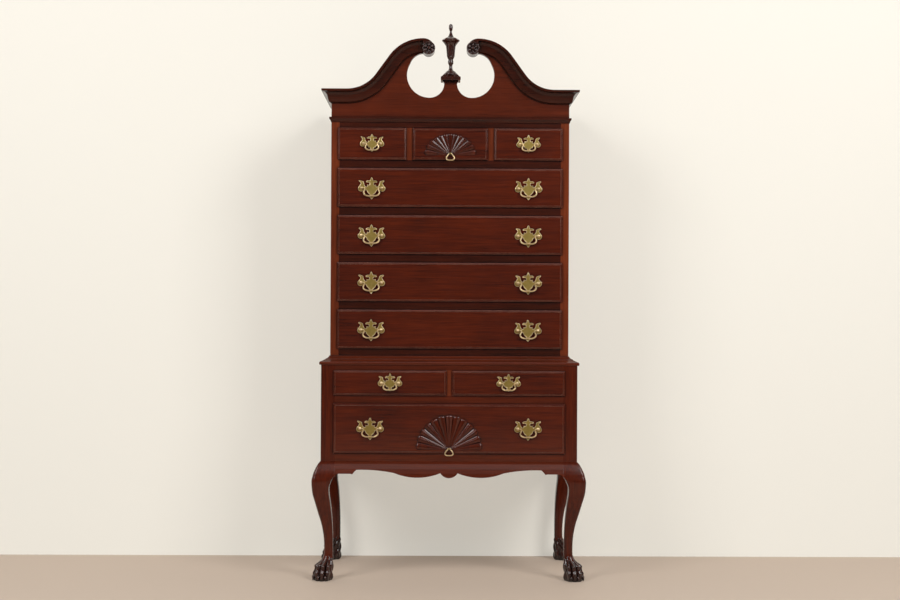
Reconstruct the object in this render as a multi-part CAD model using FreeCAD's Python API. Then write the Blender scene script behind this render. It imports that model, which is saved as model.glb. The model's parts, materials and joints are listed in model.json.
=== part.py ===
"""Highboy: a chest of drawers on a stand, with a broken scroll pediment and a turned urn.

The origin is on the floor under the middle of the case. X runs to the right across the
front, Y runs to the back and Z runs up. All sizes are in millimetres.
"""
import FreeCAD
import Part
import math
import os

from FreeCAD import Vector

# ------------------------------------------------------------------ both cases
board = 20.0                # side boards and the pediment board
frame_thickness = 20.0      # rails, stiles and dividers, front to back
back_thickness = 8.0        # back panels
dust_board = 16.0           # top and bottom boards

# ------------------------------------------------------------------ lower case
lower_width = 949.0         # over the corner posts
lower_depth = 480.0
post_margin = 46.0          # what shows of a post beside the drawer fronts
knee_height = 441.0         # floor to the top of the knees and of the aprons
lower_bottom_rail = 28.5    # what shows of each rail above or below a drawer front
bottom_drawer_height = 185.5
lower_middle_rail = 29.0
half_drawer_height = 93.0
lower_top_rail = 20.0
half_drawer_gap = 20.0
side_inset = 3.0            # side panels behind the posts' outer faces
back_rail_height = 50.0

# ------------------------------------------------------------------ upper case
upper_width = 887.0
upper_setback = 34.5        # face of the upper case behind the lower one's
stile_margin = 24.5         # what shows of a stile beside the drawer fronts
upper_bottom_rail = 59.3    # up to the lowest front, half of it behind the waist moulding
long_drawer_height = 145.8
long_drawer_count = 4
long_rail = 30.0
top_drawer_height = 120.0
top_centre_width = 280.0
top_drawer_gap = 24.0
upper_top_rail = 21.0
side_drop = 12.0            # sides and back below the top of the cornice
top_board_drop = 30.0

# ------------------------------------------------------------------ drawers
lip = 6.0                   # a front laps this much over the frame all round
lip_gap = 0.3               # behind the lip of a drawer at rest
lip_thickness = 6.8
lip_round = 5.0             # quarter round along the lip, cut as two bevels
field_step = 1.2            # the field stands this much above the quarter round
field_inset = 7.0
front_thickness = 13.0      # of the front behind its lip
drawer_side = 11.0
drawer_bottom = 5.0
bottom_rise = 9.0           # bottom above the lower edge of the sides
groove = 4.0
side_gap = 1.0              # between a drawer's side and its guide
foot_gap = 0.3              # between a drawer's side and its runner
head_gap = 3.0              # above a drawer's side
back_gap = 10.0             # behind a drawer
back_drop = 4.0             # back of a drawer below its sides
tail_length = 9.0           # dovetails at the front corners
tail_pitch = 55.0
tail_slope = 1.5            # what a tail widens by on each edge over its length
runner_thickness = 16.0
runner_width = 16.0         # what a drawer's side bears on, from the edge of its opening

# ------------------------------------------------------------------ mouldings
waist_height = 33.0
waist_nosing = 38.0         # beyond the upper case
frieze_bead_height = 18.0
frieze_bead_projection = 8.0
frieze_height = 119.5       # top of the drawers' frame to the top of the cornice
cornice_height = 51.0
cornice_projection = 35.5
cornice_fillet = 7.5

# ------------------------------------------------------------------ pediment
swan_foot_x = 385.0         # where the cornice starts to rise
swan_foot_radius = 132.0
swan_crest_radius = 155.0
swan_rise = 188.5           # crest above the cornice
crest_x = 102.0
eye_x = 83.0                # middle of the rosette
eye_drop = 36.5             # below the crest
eye_radius = 24.0
eye_wrap = 175.0            # degrees round the eye where the crest runs into it
eye_end = 327.0             # and where the cut-out leaves it
rosette_thickness = 9.0
rosette_sides = 10
cutout_x = 78.5
cutout_rise = 176.9         # middle of a cut-out above the drawers' frame
cutout_radius = 84.5
cutout_open = 30.0          # degrees above level where the round part of a cut-out begins
neck_round = 54.9           # inner side of a cut-out
neck_height = 155.5         # above the drawers' frame
neck_flare = 7.0            # what the neck widens by under its cap
cap_half_width = 37.0
cap_depth = 64.0
cap_height = 22.0
cap_edge = 13.0
cap_slope = 9.5             # what the cap draws in by above its edge

# ------------------------------------------------------------------ urn
urn_height = 192.3          # above the cap
urn_foot = 26.7             # radii from the foot up
urn_stem = 6.4
urn_knop = 10.2
urn_cup = 18.3
urn_rim = 33.8
urn_tip = 7.4
urn_sides = 10

# ------------------------------------------------------------------ legs and aprons
knee_projection = 32.0      # beyond the case, at the front and at the side
seam_cut = 1.0              # off the corners of a knee where an apron meets it
ankle_round = 14.5          # rounding of the ankle's corners
ankle_inset = 12.7          # ankle's outer faces inside the case's
ankle_inner = 45.8
toe_radius = 13.0
toe_height = 25.0
toe_ring = 27.0             # from the middle of the paw to the middle of a toe
toe_spread = 44.0           # degrees from one toe to the next
toe_count = 4
toe_sides = 6
paw_inset = 11.0            # middle of the paw inside the case's faces
apron_back = 18.0           # back face of an apron behind the case's face
apron_depth = 44.0          # underside beside a leg, below the top of the knees
apron_shallow = 30.0        # where it is highest
ear_depth = 55.0            # where it meets a leg
ear_width = 16.0
tooth_inset = 66.5          # small pointed tooth, from the leg
side_tooth_inset = 58.0
tooth_drop = 2.0
lobe_x = 106.0              # middle of the long lobe to each side
lobe_depth = 57.0
cusp_x = 32.0               # between the centre lobe and the long lobes
cusp_depth = 41.0
centre_lobe_depth = 58.5

# ------------------------------------------------------------------ brass
large_boring = 76.2         # between the posts of a large pull
small_boring = 63.5
large_pull_inset = 127.0    # middle of each large pull from the end of a long front
pull_drop = 3.0             # posts of a large upper pull below the middle of its front
plate_thickness = 1.6
post_shank = 4.4            # square, through the front
post_head = 4.8             # radius
post_stand = 13.0           # top of the head in front of the plate
post_dome = 3.5
post_tail = 6.0             # shank behind the front
post_sides = 6
pin_stand = 8.5             # axis of the bail in front of the plate
pin_radius = 1.5
pin_clearance = 0.2
bail_wire = 2.4             # radius
bail_sides = 5
bail_gap = 0.6              # between a bail's shoulder and its post
ring_wire = 2.1
ring_width = 31.0
ring_drop = 25.6
ring_rise = 5.0             # axis above the base of the fan
eye_thickness = 3.6
eye_stand = 15.0            # axis of a drop ring in front of the drawer's face
eye_wall = 2.0
eye_sides = 8

# ------------------------------------------------------------------ fans
fan_rays = 13
bottom_fan_width = 121.0    # half widths and heights
bottom_fan_height = 121.0
bottom_fan_rise = 15.5      # base above the lower edge of the front
top_fan_width = 96.0
top_fan_height = 79.0
top_fan_rise = 18.5
fan_hub = 17.0
hub_relief = 6.0
ray_relief = 0.6            # height of a ray over half its width
ray_sink = 3.0              # bottom of a ray behind the drawer's face

# ------------------------------------------------------------------ places that follow
lower_half = lower_width / 2
upper_half = upper_width / 2
lower_front = -lower_depth / 2
lower_back = lower_depth / 2
upper_front = lower_front + upper_setback
post = post_margin + lip
stile = stile_margin + lip
lower_opening = lower_half - post
upper_opening = upper_half - stile

bottom_drawer_z = knee_height + lower_bottom_rail
half_drawer_z = bottom_drawer_z + bottom_drawer_height + lower_middle_rail
lower_top = half_drawer_z + half_drawer_height + lower_top_rail
long_pitch = long_drawer_height + long_rail
first_long_z = lower_top + upper_bottom_rail
top_drawer_z = first_long_z + long_drawer_count * long_pitch
frame_top = top_drawer_z + top_drawer_height + upper_top_rail
cornice_top = frame_top + frieze_height
crest_z = cornice_top + swan_rise
eye_z = crest_z - eye_drop
cutout_z = frame_top + cutout_rise
neck_top = frame_top + neck_height

apron_low = knee_height - apron_depth
apron_high = knee_height - apron_shallow
ear_z = knee_height - ear_depth

bottom_front_width = 2 * (lower_half - post_margin)
half_drawer_width = (bottom_front_width - half_drawer_gap) / 2
long_front_width = 2 * (upper_half - stile_margin)
top_side_width = (long_front_width - top_centre_width) / 2 - top_drawer_gap
large_pull_x = long_front_width / 2 - large_pull_inset
face_rise = lip_gap + lip_thickness + field_step    # a drawer's face in front of the frame's


# ------------------------------------------------------------------ shapes
def box(x, y, z):
    """A block between a low and a high bound on each axis."""
    return Part.makeBox(x[1] - x[0], y[1] - y[0], z[1] - z[0], Vector(x[0], y[0], z[0]))


def both(shape):
    """A shape on the right and its mirror image on the left."""
    return [shape, shape.mirror(Vector(), Vector(1, 0, 0))]


def fused(shapes):
    """One solid from shapes that overlap or meet."""
    return shapes[0].multiFuse(shapes[1:]).removeSplitter()


def save(node, solids):
    """One file for a node, with all its solids."""
    Part.makeCompound(solids).exportStep("parts/" + node + ".step")


def flat(points, place):
    """A flat face with straight edges through (u, v) points."""
    corners = [place(*point) for point in points]
    return Part.Face(Part.makePolygon(corners + corners[:1]))


def skin(rings):
    """A solid with flat faces through a row of closed rings with as many corners each."""
    faces = [Part.Face(Part.makePolygon(ring + ring[:1])) for ring in (rings[0], rings[-1])]
    for near, far in zip(rings, rings[1:]):
        for k in range(len(near)):
            corners = [near[k - 1], near[k], far[k], far[k - 1], near[k - 1]]
            faces.append(Part.Face(Part.makePolygon(corners)))
    return Part.Solid(Part.Shell(faces))


def turned(profile, sides):
    """A faceted turning about Z from (radius, height) steps."""
    turns = [2 * math.pi * (k + 0.5) / sides for k in range(sides)]
    return skin([[Vector(radius * math.cos(turn), radius * math.sin(turn), height) for turn in turns]
                 for radius, height in profile])


def facing_front(shape, x, y, z):
    """Lays a turning down with its foot at a place and its top to the front."""
    laid = shape.copy()
    laid.rotate(Vector(), Vector(1, 0, 0), 90)
    laid.translate(Vector(x, y, z))
    return laid


def rod(steps, sides):
    """A faceted rod in the XZ plane through (x, z, radius) steps, mitred where it turns."""
    points = [Vector(x, 0, z) for x, z, radius in steps]
    turns = [2 * math.pi * (side + 0.5) / sides for side in range(sides)]
    rings = []
    for k, (x, z, radius) in enumerate(steps):
        ahead = (points[min(k + 1, len(points) - 1)] - points[min(k, len(points) - 2)]).normalize()
        behind = (points[max(k, 1)] - points[max(k - 1, 0)]).normalize()
        along = (ahead + behind).normalize()
        aside = Vector(-along.z, 0, along.x) * (radius / along.dot(ahead))
        rings.append([points[k] + aside * math.cos(turn) + Vector(0, radius * math.sin(turn), 0)
                      for turn in turns])
    return skin(rings)


def front_arc(centre, radius, first, last):
    """An arc in the XZ plane between two angles in degrees."""
    def at(angle):
        turn = math.radians(angle)
        return Vector(centre[0] + radius * math.cos(turn), 0, centre[1] + radius * math.sin(turn))
    return Part.Arc(at(first), at((first + last) / 2), at(last)).toShape()


def mitre_blocks(reach, low, high):
    """Blocks that keep a front moulding and a right side moulding to their sides of a mitre."""
    def prism(points):
        return flat(points, lambda x, y: Vector(x, y, low)).extrude(Vector(0, 0, high - low))
    corner = (upper_half, upper_front)
    far = (upper_half + reach, upper_front - reach)
    front = prism([corner, far, (-far[0], far[1]), (-corner[0], corner[1])])
    side = prism([corner, far, (far[0], lower_back), (corner[0], lower_back)])
    return front, side


def side_moulding(profile, foot, reach, block):
    """A straight moulding on the right side of the upper case, from (out, up) steps above foot."""
    section = flat(profile, lambda out, up: Vector(upper_half + out, upper_front - reach, foot + up))
    return section.extrude(Vector(0, lower_back - upper_front + reach, 0)).common(block)


def mouldings(profile, foot, height, reach):
    """A mitred moulding along the front and both sides of the upper case."""
    front_block, side_block = mitre_blocks(reach, foot, foot + height)
    far = upper_half + reach
    section = flat(profile, lambda out, up: Vector(-far, upper_front - out, foot + up))
    front = section.extrude(Vector(2 * far, 0, 0)).common(front_block)
    return [front] + both(side_moulding(profile, foot, reach, side_block))


# ------------------------------------------------------------------ cases
def upper_levels():
    """Lower and upper edge of each drawer front of the upper case, from the bottom up."""
    levels = [first_long_z + k * long_pitch for k in range(long_drawer_count)]
    return [(z, z + long_drawer_height) for z in levels] + [(top_drawer_z, top_drawer_z + top_drawer_height)]


def upper_case_boards():
    depth = (upper_front + frame_thickness, lower_back)
    side = box((upper_half - board, upper_half), depth, (lower_top, cornice_top - side_drop))
    between = (-upper_half + board, upper_half - board)
    depth = (upper_front + frame_thickness, lower_back - back_thickness)
    top = cornice_top - top_board_drop
    return both(side) + [box(between, depth, (top - dust_board, top)),
                         box(between, depth, (lower_top, lower_top + dust_board))]


def back_panels():
    inner = upper_half - board
    middle = lower_back - back_thickness
    upper = box((-inner, inner), (middle, lower_back), (lower_top, cornice_top - side_drop))
    lower = box((-lower_opening, lower_opening), (middle - back_thickness, middle), (knee_height, lower_top))
    return [upper, lower]


def upper_face_frame():
    depth = (upper_front, upper_front + frame_thickness)
    stiles = both(box((upper_opening, upper_half), depth, (lower_top, frame_top)))
    lows = [lower_top] + [high - lip for low, high in upper_levels()]
    highs = [low + lip for low, high in upper_levels()] + [frame_top]
    rails = [box((-upper_opening, upper_opening), depth, (low, high)) for low, high in zip(lows, highs)]
    inner = top_centre_width / 2 - lip
    outer = top_centre_width / 2 + top_drawer_gap + lip
    low, high = upper_levels()[-1]
    return stiles + rails + both(box((inner, outer), depth, (low + lip, high - lip)))


def lower_face_frame():
    depth = (lower_front, lower_front + frame_thickness)
    across = (-lower_opening, lower_opening)
    bottom = box(across, depth, (knee_height, bottom_drawer_z + lip))
    middle = box(across, depth, (bottom_drawer_z + bottom_drawer_height - lip, half_drawer_z + lip))
    top = box(across, depth, (half_drawer_z + half_drawer_height - lip, lower_top))
    half_gap = half_drawer_gap / 2 + lip
    height = (half_drawer_z + lip, half_drawer_z + half_drawer_height - lip)
    divider = box((-half_gap, half_gap), depth, height)
    return [bottom, middle, top, divider]


def lower_case_boards():
    outer = lower_half - side_inset
    side = box((outer - board, outer), (lower_front + post, lower_back - post), (knee_height, lower_top))
    across = (-lower_opening, lower_opening)
    inner_back = lower_back - 2 * back_thickness
    top = box(across, (lower_front + frame_thickness, inner_back), (lower_top - dust_board, lower_top))
    back_rail = box(across, (inner_back, lower_back), (knee_height - back_rail_height, knee_height))
    return both(side) + [top, back_rail]


def upper_runners():
    """Runners, guides and kickers at the sides of the upper case and behind its dividers."""
    solids = []
    depth = (upper_front + frame_thickness, lower_back - back_thickness)
    bearing = (upper_opening - runner_width, upper_half - board)
    for low, high in upper_levels():
        solids += both(box(bearing, depth, (low + lip - runner_thickness, low + lip)))
        guide = (low + lip, low + lip + runner_thickness)
        solids += both(box((upper_opening, upper_half - board), depth, guide))
        solids += both(box(bearing, depth, (high - lip, high - lip + runner_thickness)))
    inner = top_centre_width / 2 - lip
    outer = top_centre_width / 2 + top_drawer_gap + lip
    low, high = upper_levels()[-1]
    bearing = (inner - runner_width, outer + runner_width)
    solids += both(box(bearing, depth, (low + lip - runner_thickness, low + lip)))
    solids += both(box((inner, outer), depth, (low + lip, low + lip + runner_thickness)))
    return solids + both(box(bearing, depth, (high - lip, high - lip + runner_thickness)))


def lower_runners():
    """Runners, guides and kickers of the lower case. The guides fill out to the side panels."""
    solids = []
    depth = (lower_front + frame_thickness, lower_back - 2 * back_thickness)
    between_posts = (lower_front + post, lower_back - post)
    wall = lower_half - side_inset - board
    bearing = (lower_opening - runner_width, lower_opening)
    dust_z = lower_top - dust_board
    for front_z, height in ((bottom_drawer_z, bottom_drawer_height), (half_drawer_z, half_drawer_height)):
        low, high = front_z + lip, front_z + height - lip
        solids += both(box(bearing, depth, (low - runner_thickness, low)))
        guide = (low - runner_thickness, low + runner_thickness)
        solids += both(box((lower_opening, wall), between_posts, guide))
        solids += both(box(bearing, depth, (high, min(high + runner_thickness, dust_z))))
    half_gap = half_drawer_gap / 2 + lip
    bearing = (-half_gap - runner_width, half_gap + runner_width)
    low, high = half_drawer_z + lip, half_drawer_z + half_drawer_height - lip
    return solids + [box(bearing, depth, (low - runner_thickness, low)),
                     box((-half_gap, half_gap), depth, (low, low + runner_thickness)),
                     box(bearing, depth, (high, dust_z))]


# ------------------------------------------------------------------ mouldings
def waist_moulding():
    """A cove over an ovolo and a nosing, round the foot of the upper case."""
    out = waist_nosing
    top = waist_height
    profile = [(0, 0), (out - 1.5, 0), (out, 3), (out, 8), (out - 2, 11.5), (out - 9, 14), (out - 16, 17.5),
               (out - 21, 20), (out - 22, 22), (9, 25), (4, top - 3), (3, top), (0, top)]
    return mouldings(profile, lower_top, top, out)


def frieze_bead():
    """A small moulding along the foot of the pediment board."""
    out = frieze_bead_projection
    top = frieze_bead_height
    profile = [(0, 0), (2, 0), (3.5, 6), (out, 12), (out, top - 1), (out - 1, top), (0, top)]
    return mouldings(profile, frame_top, top, out)


def cornice_profile():
    """The cornice's section as (out, up) steps from its top: a fillet, a cove and an ovolo."""
    out = cornice_projection
    low = -cornice_height
    cove = -cornice_fillet
    return [(0, 0), (out, 0), (out, cove), (out - 4.5, cove - 1), (out - 13, cove - 4), (out - 20, cove - 13),
            (out - 23.5, low + 15), (out - 26, low + 6), (0, low)]


def swan_path():
    """The rising top edge of the cornice: a hollow, a slope and a crest, each tangent to the next."""
    foot = (swan_foot_x, cornice_top + swan_foot_radius)
    crest = (crest_x, crest_z - swan_crest_radius)
    across, up = foot[0] - crest[0], foot[1] - crest[1]
    radii = swan_foot_radius + swan_crest_radius
    slope = math.degrees(math.atan2(across, up) - math.acos(radii / math.hypot(across, up)))
    hollow = front_arc(foot, swan_foot_radius, -90, -90 - slope)
    rise = front_arc(crest, swan_crest_radius, 90 - slope, 90)
    return [hollow, Part.makeLine(hollow.lastVertex(True).Point, rise.firstVertex(True).Point), rise]


def scroll_edges():
    """The end of the scroll: from the crest over and under the eye, to the cut-out."""
    turn = math.radians(eye_wrap)
    across = crest_x - eye_x - eye_radius * math.cos(turn)
    drop = crest_z - eye_z - eye_radius * math.sin(turn)
    radius = (across ** 2 + drop ** 2) / (2 * drop)
    last = math.degrees(math.atan2(radius - drop, -across))
    wrap = front_arc((crest_x, crest_z - radius), radius, 90, last)
    return [wrap, front_arc((eye_x, eye_z), eye_radius, eye_wrap, eye_end)]


def cutout_edges(start):
    """The edge of the right cut-out, from the end of the scroll round to the neck's cap."""
    ring = front_arc((cutout_x, cutout_z), cutout_radius, cutout_open, -90)
    entry = Part.Arc(start, Vector(cutout_x + 0.62 * cutout_radius, 0, cutout_z + 0.84 * cutout_radius),
                     ring.firstVertex(True).Point).toShape()
    neck = front_arc((cutout_x, cutout_z - cutout_radius + neck_round), neck_round, -90, -180)
    waist = neck.lastVertex(True).Point
    return [entry, ring, neck, Part.makeLine(waist, Vector(waist.x + neck_flare, 0, neck_top))]


def pediment_board():
    """The board behind the swan necks, with a round cut-out to each side of the urn's neck."""
    scroll = scroll_edges()
    cutout = cutout_edges(scroll[-1].lastVertex(True).Point)
    corners = [cutout[-1].lastVertex(True).Point, Vector(0, 0, neck_top), Vector(0, 0, frame_top),
               Vector(upper_half, 0, frame_top), Vector(upper_half, 0, cornice_top),
               Vector(swan_foot_x, 0, cornice_top)]
    straight = [Part.makeLine(a, b) for a, b in zip(corners, corners[1:])]
    half = Part.Face(Part.Wire(straight + swan_path() + scroll + cutout)).extrude(Vector(0, board, 0))
    half.translate(Vector(0, upper_front, 0))
    return [fused(both(half))]


def moulded(profile, edge):
    """A moulding's section carried along a straight or round edge that runs up to the left."""
    start = edge.firstVertex(True).Point
    along = edge.tangentAt(edge.FirstParameter)
    section = flat(profile, lambda out, up: start + Vector(along.z * up, upper_front - out, -along.x * up))
    if isinstance(edge.Curve, Part.Line):
        return section.extrude(edge.lastVertex(True).Point - start)
    turn = math.degrees(edge.LastParameter - edge.FirstParameter)
    return section.revolve(edge.Curve.Center, edge.Curve.Axis, turn)


def swan_neck_mouldings():
    """The cornice up each swan neck to its scroll, and along each side of the case."""
    reach = cornice_projection
    profile = cornice_profile()
    level = Part.makeLine(Vector(upper_half + reach, 0, cornice_top), Vector(swan_foot_x, 0, cornice_top))
    rise = fused([moulded(profile, edge) for edge in [level] + swan_path()])
    front_block, side_block = mitre_blocks(reach, frame_top, crest_z + reach)
    scroll = scroll_edges()
    close = Part.makeLine(scroll[-1].lastVertex(True).Point, Vector(crest_x, 0, crest_z))
    eye = Part.Face(Part.Wire(scroll + [close])).extrude(Vector(0, -reach, 0))
    eye.translate(Vector(0, upper_front, 0))
    necks = both(fused([rise.common(front_block), eye]))
    return necks + both(side_moulding(profile, cornice_top, reach, side_block))


def rosettes():
    """Dished discs with a raised rim and a central button."""
    deep = rosette_thickness
    rim = eye_radius
    disc = turned([(rim, 0), (rim, deep - 2.5), (rim - 2.5, deep), (rim - 5, deep - 1), (rim - 7, deep - 5),
                   (7, deep - 3), (5, deep - 1), (2.5, deep)], rosette_sides)
    return both(facing_front(disc, eye_x, upper_front - cornice_projection, eye_z))


def plinth_cap(y):
    """Cap of the pediment's neck, with an edge and a sloping top."""
    def ring(inset, z):
        half, deep = cap_half_width - inset, cap_depth / 2 - inset
        return [Vector(-half, y - deep, z), Vector(half, y - deep, z), Vector(half, y + deep, z),
                Vector(-half, y + deep, z)]
    return skin([ring(0, neck_top), ring(0, neck_top + cap_edge), ring(cap_slope, neck_top + cap_height)])


def finial():
    """The plinth cap and the turned urn that stands on it."""
    y = upper_front + board / 2
    foot = [(urn_foot, 0), (23, 0.039), (18.8, 0.065), (12.9, 0.086), (8, 0.114), (urn_stem, 0.161),
            (7, 0.203), (urn_knop, 0.265), (8.8, 0.296)]
    cup = [(14.2, 0.369), (15.9, 0.473), (urn_cup, 0.567), (24.3, 0.621), (urn_rim, 0.671)]
    lid = [(30.5, 0.697), (25, 0.718), (15.7, 0.736), (10, 0.757), (4, 0.845)]
    tip = [(5.7, 0.879), (urn_tip, 0.935), (4.8, 0.99), (1.5, 1)]
    urn = turned([(radius, share * urn_height) for radius, share in foot + cup + lid + tip], urn_sides)
    urn.translate(Vector(0, y, neck_top + cap_height))
    return [plinth_cap(y), urn]


# ------------------------------------------------------------------ legs and aprons
def swell():
    """The swell of a knee, shared by the aprons, as (out, z) steps down from the case."""
    reach = knee_projection
    return [(0, knee_height), (0.27 * reach, knee_height - 9), (0.58 * reach, knee_height - 27),
            (0.8 * reach, knee_height - 43), (0.96 * reach, knee_height - 64)]


def leg_ring(z, inner, outer, corner, seam):
    """A square across the front right leg, offset from the case's corner.

    Its outermost corner is rounded by corner and the other three are cut off by seam.
    """
    middle = (inner + outer) / 2
    ring = []
    quarters = ((outer, outer, corner), (inner, outer, seam), (inner, inner, seam), (outer, inner, seam))
    for quarter, (u, v, radius) in enumerate(quarters):
        centre_u = u - math.copysign(radius, u - middle)
        centre_v = v - math.copysign(radius, v - middle)
        for angle in (0, 90) if quarter else (0, 45, 90):
            turn = math.radians(90 * quarter + angle)
            ring.append(Vector(lower_half + centre_u + radius * math.cos(turn),
                               lower_front - centre_v - radius * math.sin(turn), z))
    return ring


def cabriole_leg():
    """The front right leg: a post, a knee that swells to both sides, an ankle and a paw."""
    reach = knee_projection
    rings = [leg_ring(z, -post, out, 3 + 0.28 * out, seam_cut) for out, z in swell()[:-1]]
    rings.append(leg_ring(ear_z + 2, -post, 0.88 * reach, 11, seam_cut))
    calf = [(0.96, -42, reach, 12), (0.9, -33, 0.98 * reach, 13), (0.83, -33, 0.88 * reach, 14),
            (0.75, -37, 0.63 * reach, 15), (0.65, -41, 0.3 * reach, 15), (0.54, -44, -2.5, 15)]
    ankle = [(0.43, -45.5, -10, ankle_round), (0.34, -ankle_inner, -ankle_inset, ankle_round),
             (0.25, -ankle_inner, -ankle_inset, ankle_round)]
    paw = [(74, -46, -6.5, 15), (52, -47.5, 5.5, 19), (24, -49, 13, 24), (0, -46, 11, 22)]
    stations = [(share * ear_z, inner, outer, corner) for share, inner, outer, corner in calf + ankle] + paw
    rings += [leg_ring(z, inner, outer, corner, corner) for z, inner, outer, corner in stations]
    block = box((lower_half - post, lower_half), (lower_front, lower_front + post), (knee_height, lower_top))
    toe = turned([(0.8 * toe_radius, 0), (toe_radius, 0.45 * toe_height), (0.5 * toe_radius, toe_height)],
                 toe_sides)
    middle = Vector(lower_half - paw_inset, lower_front + paw_inset, 0)
    toes = []
    for k in range(toe_count):
        turn = math.radians(-45 + (k - (toe_count - 1) / 2) * toe_spread)
        toes.append(toe.translated(middle + Vector(math.cos(turn), math.sin(turn), 0) * toe_ring))
    return fused([block, skin(rings)] + toes)


def cabriole_legs():
    fronts = both(cabriole_leg())
    return fronts + [leg.mirror(Vector(), Vector(0, 1, 0)) for leg in fronts]


def apron_section(place):
    """The swelling section of an apron, in line with the knees."""
    low = ear_z - board
    steps = swell() + [(knee_projection, low), (-apron_back, low), (-apron_back, knee_height)]
    return flat(steps, place)


def front_apron():
    """Scalloped apron: a centre lobe, a long lobe on each side and a tooth near each leg."""
    half = lower_opening
    tooth_x = half - tooth_inset
    section = apron_section(lambda out, z: Vector(-half, lower_front - out, z))
    cusp = Vector(cusp_x, 0, knee_height - cusp_depth)
    bend = Vector(1.9 * lobe_x, 0, cusp.z)
    crest = Vector(tooth_x - 15, 0, apron_high)
    tooth = Vector(tooth_x, 0, apron_low - tooth_drop)
    foot = Vector(tooth_x + 6, 0, apron_low)
    ear = Vector(half - ear_width, 0, apron_low)
    corner = Vector(half, 0, ear_z)
    top = Vector(half, 0, knee_height)
    right = [Part.Arc(cusp, Vector(lobe_x, 0, knee_height - lobe_depth), bend).toShape(),
             Part.Arc(bend, Vector((bend.x + crest.x) / 2, 0, apron_high - 1.5), crest).toShape(),
             Part.Arc(crest, Vector(tooth_x - 8, 0, apron_high - 6.5), tooth).toShape(),
             Part.makeLine(tooth, foot), Part.makeLine(foot, ear),
             Part.Arc(ear, Vector(half - 6, 0, apron_low - 3.5), corner).toShape(),
             Part.makeLine(corner, top)]
    left = [edge.mirror(Vector(), Vector(1, 0, 0)) for edge in reversed(right)]
    lid = Part.makeLine(top, Vector(-half, 0, knee_height))
    lobe = Vector(0, 0, knee_height - centre_lobe_depth)
    centre = Part.Arc(Vector(-cusp.x, 0, cusp.z), lobe, cusp).toShape()
    cutter = Part.Face(Part.Wire(right + [lid] + left + [centre])).extrude(Vector(0, 4 * post, 0))
    cutter.translate(Vector(0, lower_front - 2 * post, 0))
    return section.extrude(Vector(2 * half, 0, 0)).common(cutter)


def side_apron():
    """Apron on the right side, with a tooth near each leg and a shallow hollow between."""
    half = lower_back - post
    section = apron_section(lambda out, z: Vector(lower_half + out, -half, z))
    tooth_y = half - side_tooth_inset
    crest = tooth_y - 13
    rear = [(0, apron_high - 7), (crest / 2, apron_high - 2), (crest, apron_high),
            (crest + 7, apron_high - 5), (tooth_y, apron_low - tooth_drop), (tooth_y + 6, apron_low),
            (half - ear_width, apron_low), (half - 6, apron_low - 3.5), (half, ear_z), (half, knee_height)]
    front = [(-y, z) for y, z in reversed(rear[1:])]
    outline = flat(rear + front, lambda y, z: Vector(lower_half - 2 * post, y, z))
    return section.extrude(Vector(0, 2 * half, 0)).common(outline.extrude(Vector(4 * post, 0, 0)))


# ------------------------------------------------------------------ brass
def shank(x, z, y):
    """The square shank of a post between two depths, which also cuts its hole in a front."""
    half = post_shank / 2
    return box((x - half, x + half), y, (z - half, z + half))


def bail(x, y, z, boring):
    """A swan-necked bail with a pin at each end, hanging from the posts of a pull."""
    shoulder = boring / 2 - post_head - bail_gap
    pins = [(boring / 2 + 0.6 * post_head, 0, pin_radius), (shoulder + bail_gap / 2, 0, pin_radius)]
    neck = [(0.35, 0), (0.33, -0.11), (0.375, -0.22), (0.31, -0.34), (0.19, -0.385)]
    half = pins + [(shoulder, 0, bail_wire)] + [(u * boring, w * boring, bail_wire) for u, w in neck]
    steps = half + [(-u, w, radius) for u, w, radius in reversed(half)]
    return [rod(steps, bail_sides).translated(Vector(x, y - pin_stand, z))]


def pull_post(x, y, z):
    """A post with a square shank through the front and a cross hole for the bail's pin."""
    head = turned([(post_head, 0), (post_head, post_stand - post_dome), (0.6 * post_head, post_stand)],
                  post_sides)
    behind = plate_thickness + face_rise - lip_gap + front_thickness
    half = pin_radius + pin_clearance
    hole = box((x - 2 * post_head, x + 2 * post_head), (y - pin_stand - half, y - pin_stand + half),
               (z - half, z + half))
    return fused([facing_front(head, x, y, z), shank(x, z, (y, y + behind + post_tail))]).cut(hole)


def backplate(x, y, z, boring):
    """A batwing plate: a shield, a leaf above it and a wing round each post, in shares of the boring."""
    right = [(0.07, 0.4), (0.27, 0.3), (0.11, 0.22), (0.23, 0.06), (0.35, 0.09), (0.39, 0.28), (0.56, 0.37),
             (0.53, 0.2), (0.675, -0.02), (0.6, -0.165), (0.41, -0.165), (0.29, -0.09), (0.22, -0.22),
             (0.06, -0.38)]
    left = [(-u, w) for u, w in reversed(right)]
    points = [(u * boring, w * boring) for u, w in [(0, 0.53)] + right + [(0, -0.565)] + left]
    return flat(points, lambda u, w: Vector(x + u, y, z + w)).extrude(Vector(0, plate_thickness, 0))


def pull(x, face, z, boring):
    """Backplate and posts of one pull, brazed together. The plate lies on the drawer's face."""
    y = face - plate_thickness
    posts = [pull_post(x + side * boring / 2, y, z) for side in (-1, 1)]
    return [fused([backplate(x, y, z, boring)] + posts)]


def ring_eye(face, z):
    """The post of a drop ring. The ring's bar turns in its eye."""
    bore = (ring_wire + pin_clearance) / math.cos(math.pi / eye_sides)
    loop = turned([(bore + eye_wall, -eye_thickness / 2), (bore + eye_wall, eye_thickness / 2)], eye_sides)
    hole = turned([(bore, -eye_thickness), (bore, eye_thickness)], eye_sides)
    for shape in (loop, hole):
        shape.rotate(Vector(), Vector(0, 1, 0), 90)
    stem = shank(0, 0, (0, eye_stand + face_rise - lip_gap + front_thickness))
    return [fused([loop, stem]).cut(hole).translated(Vector(0, face - eye_stand, z))]


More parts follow.
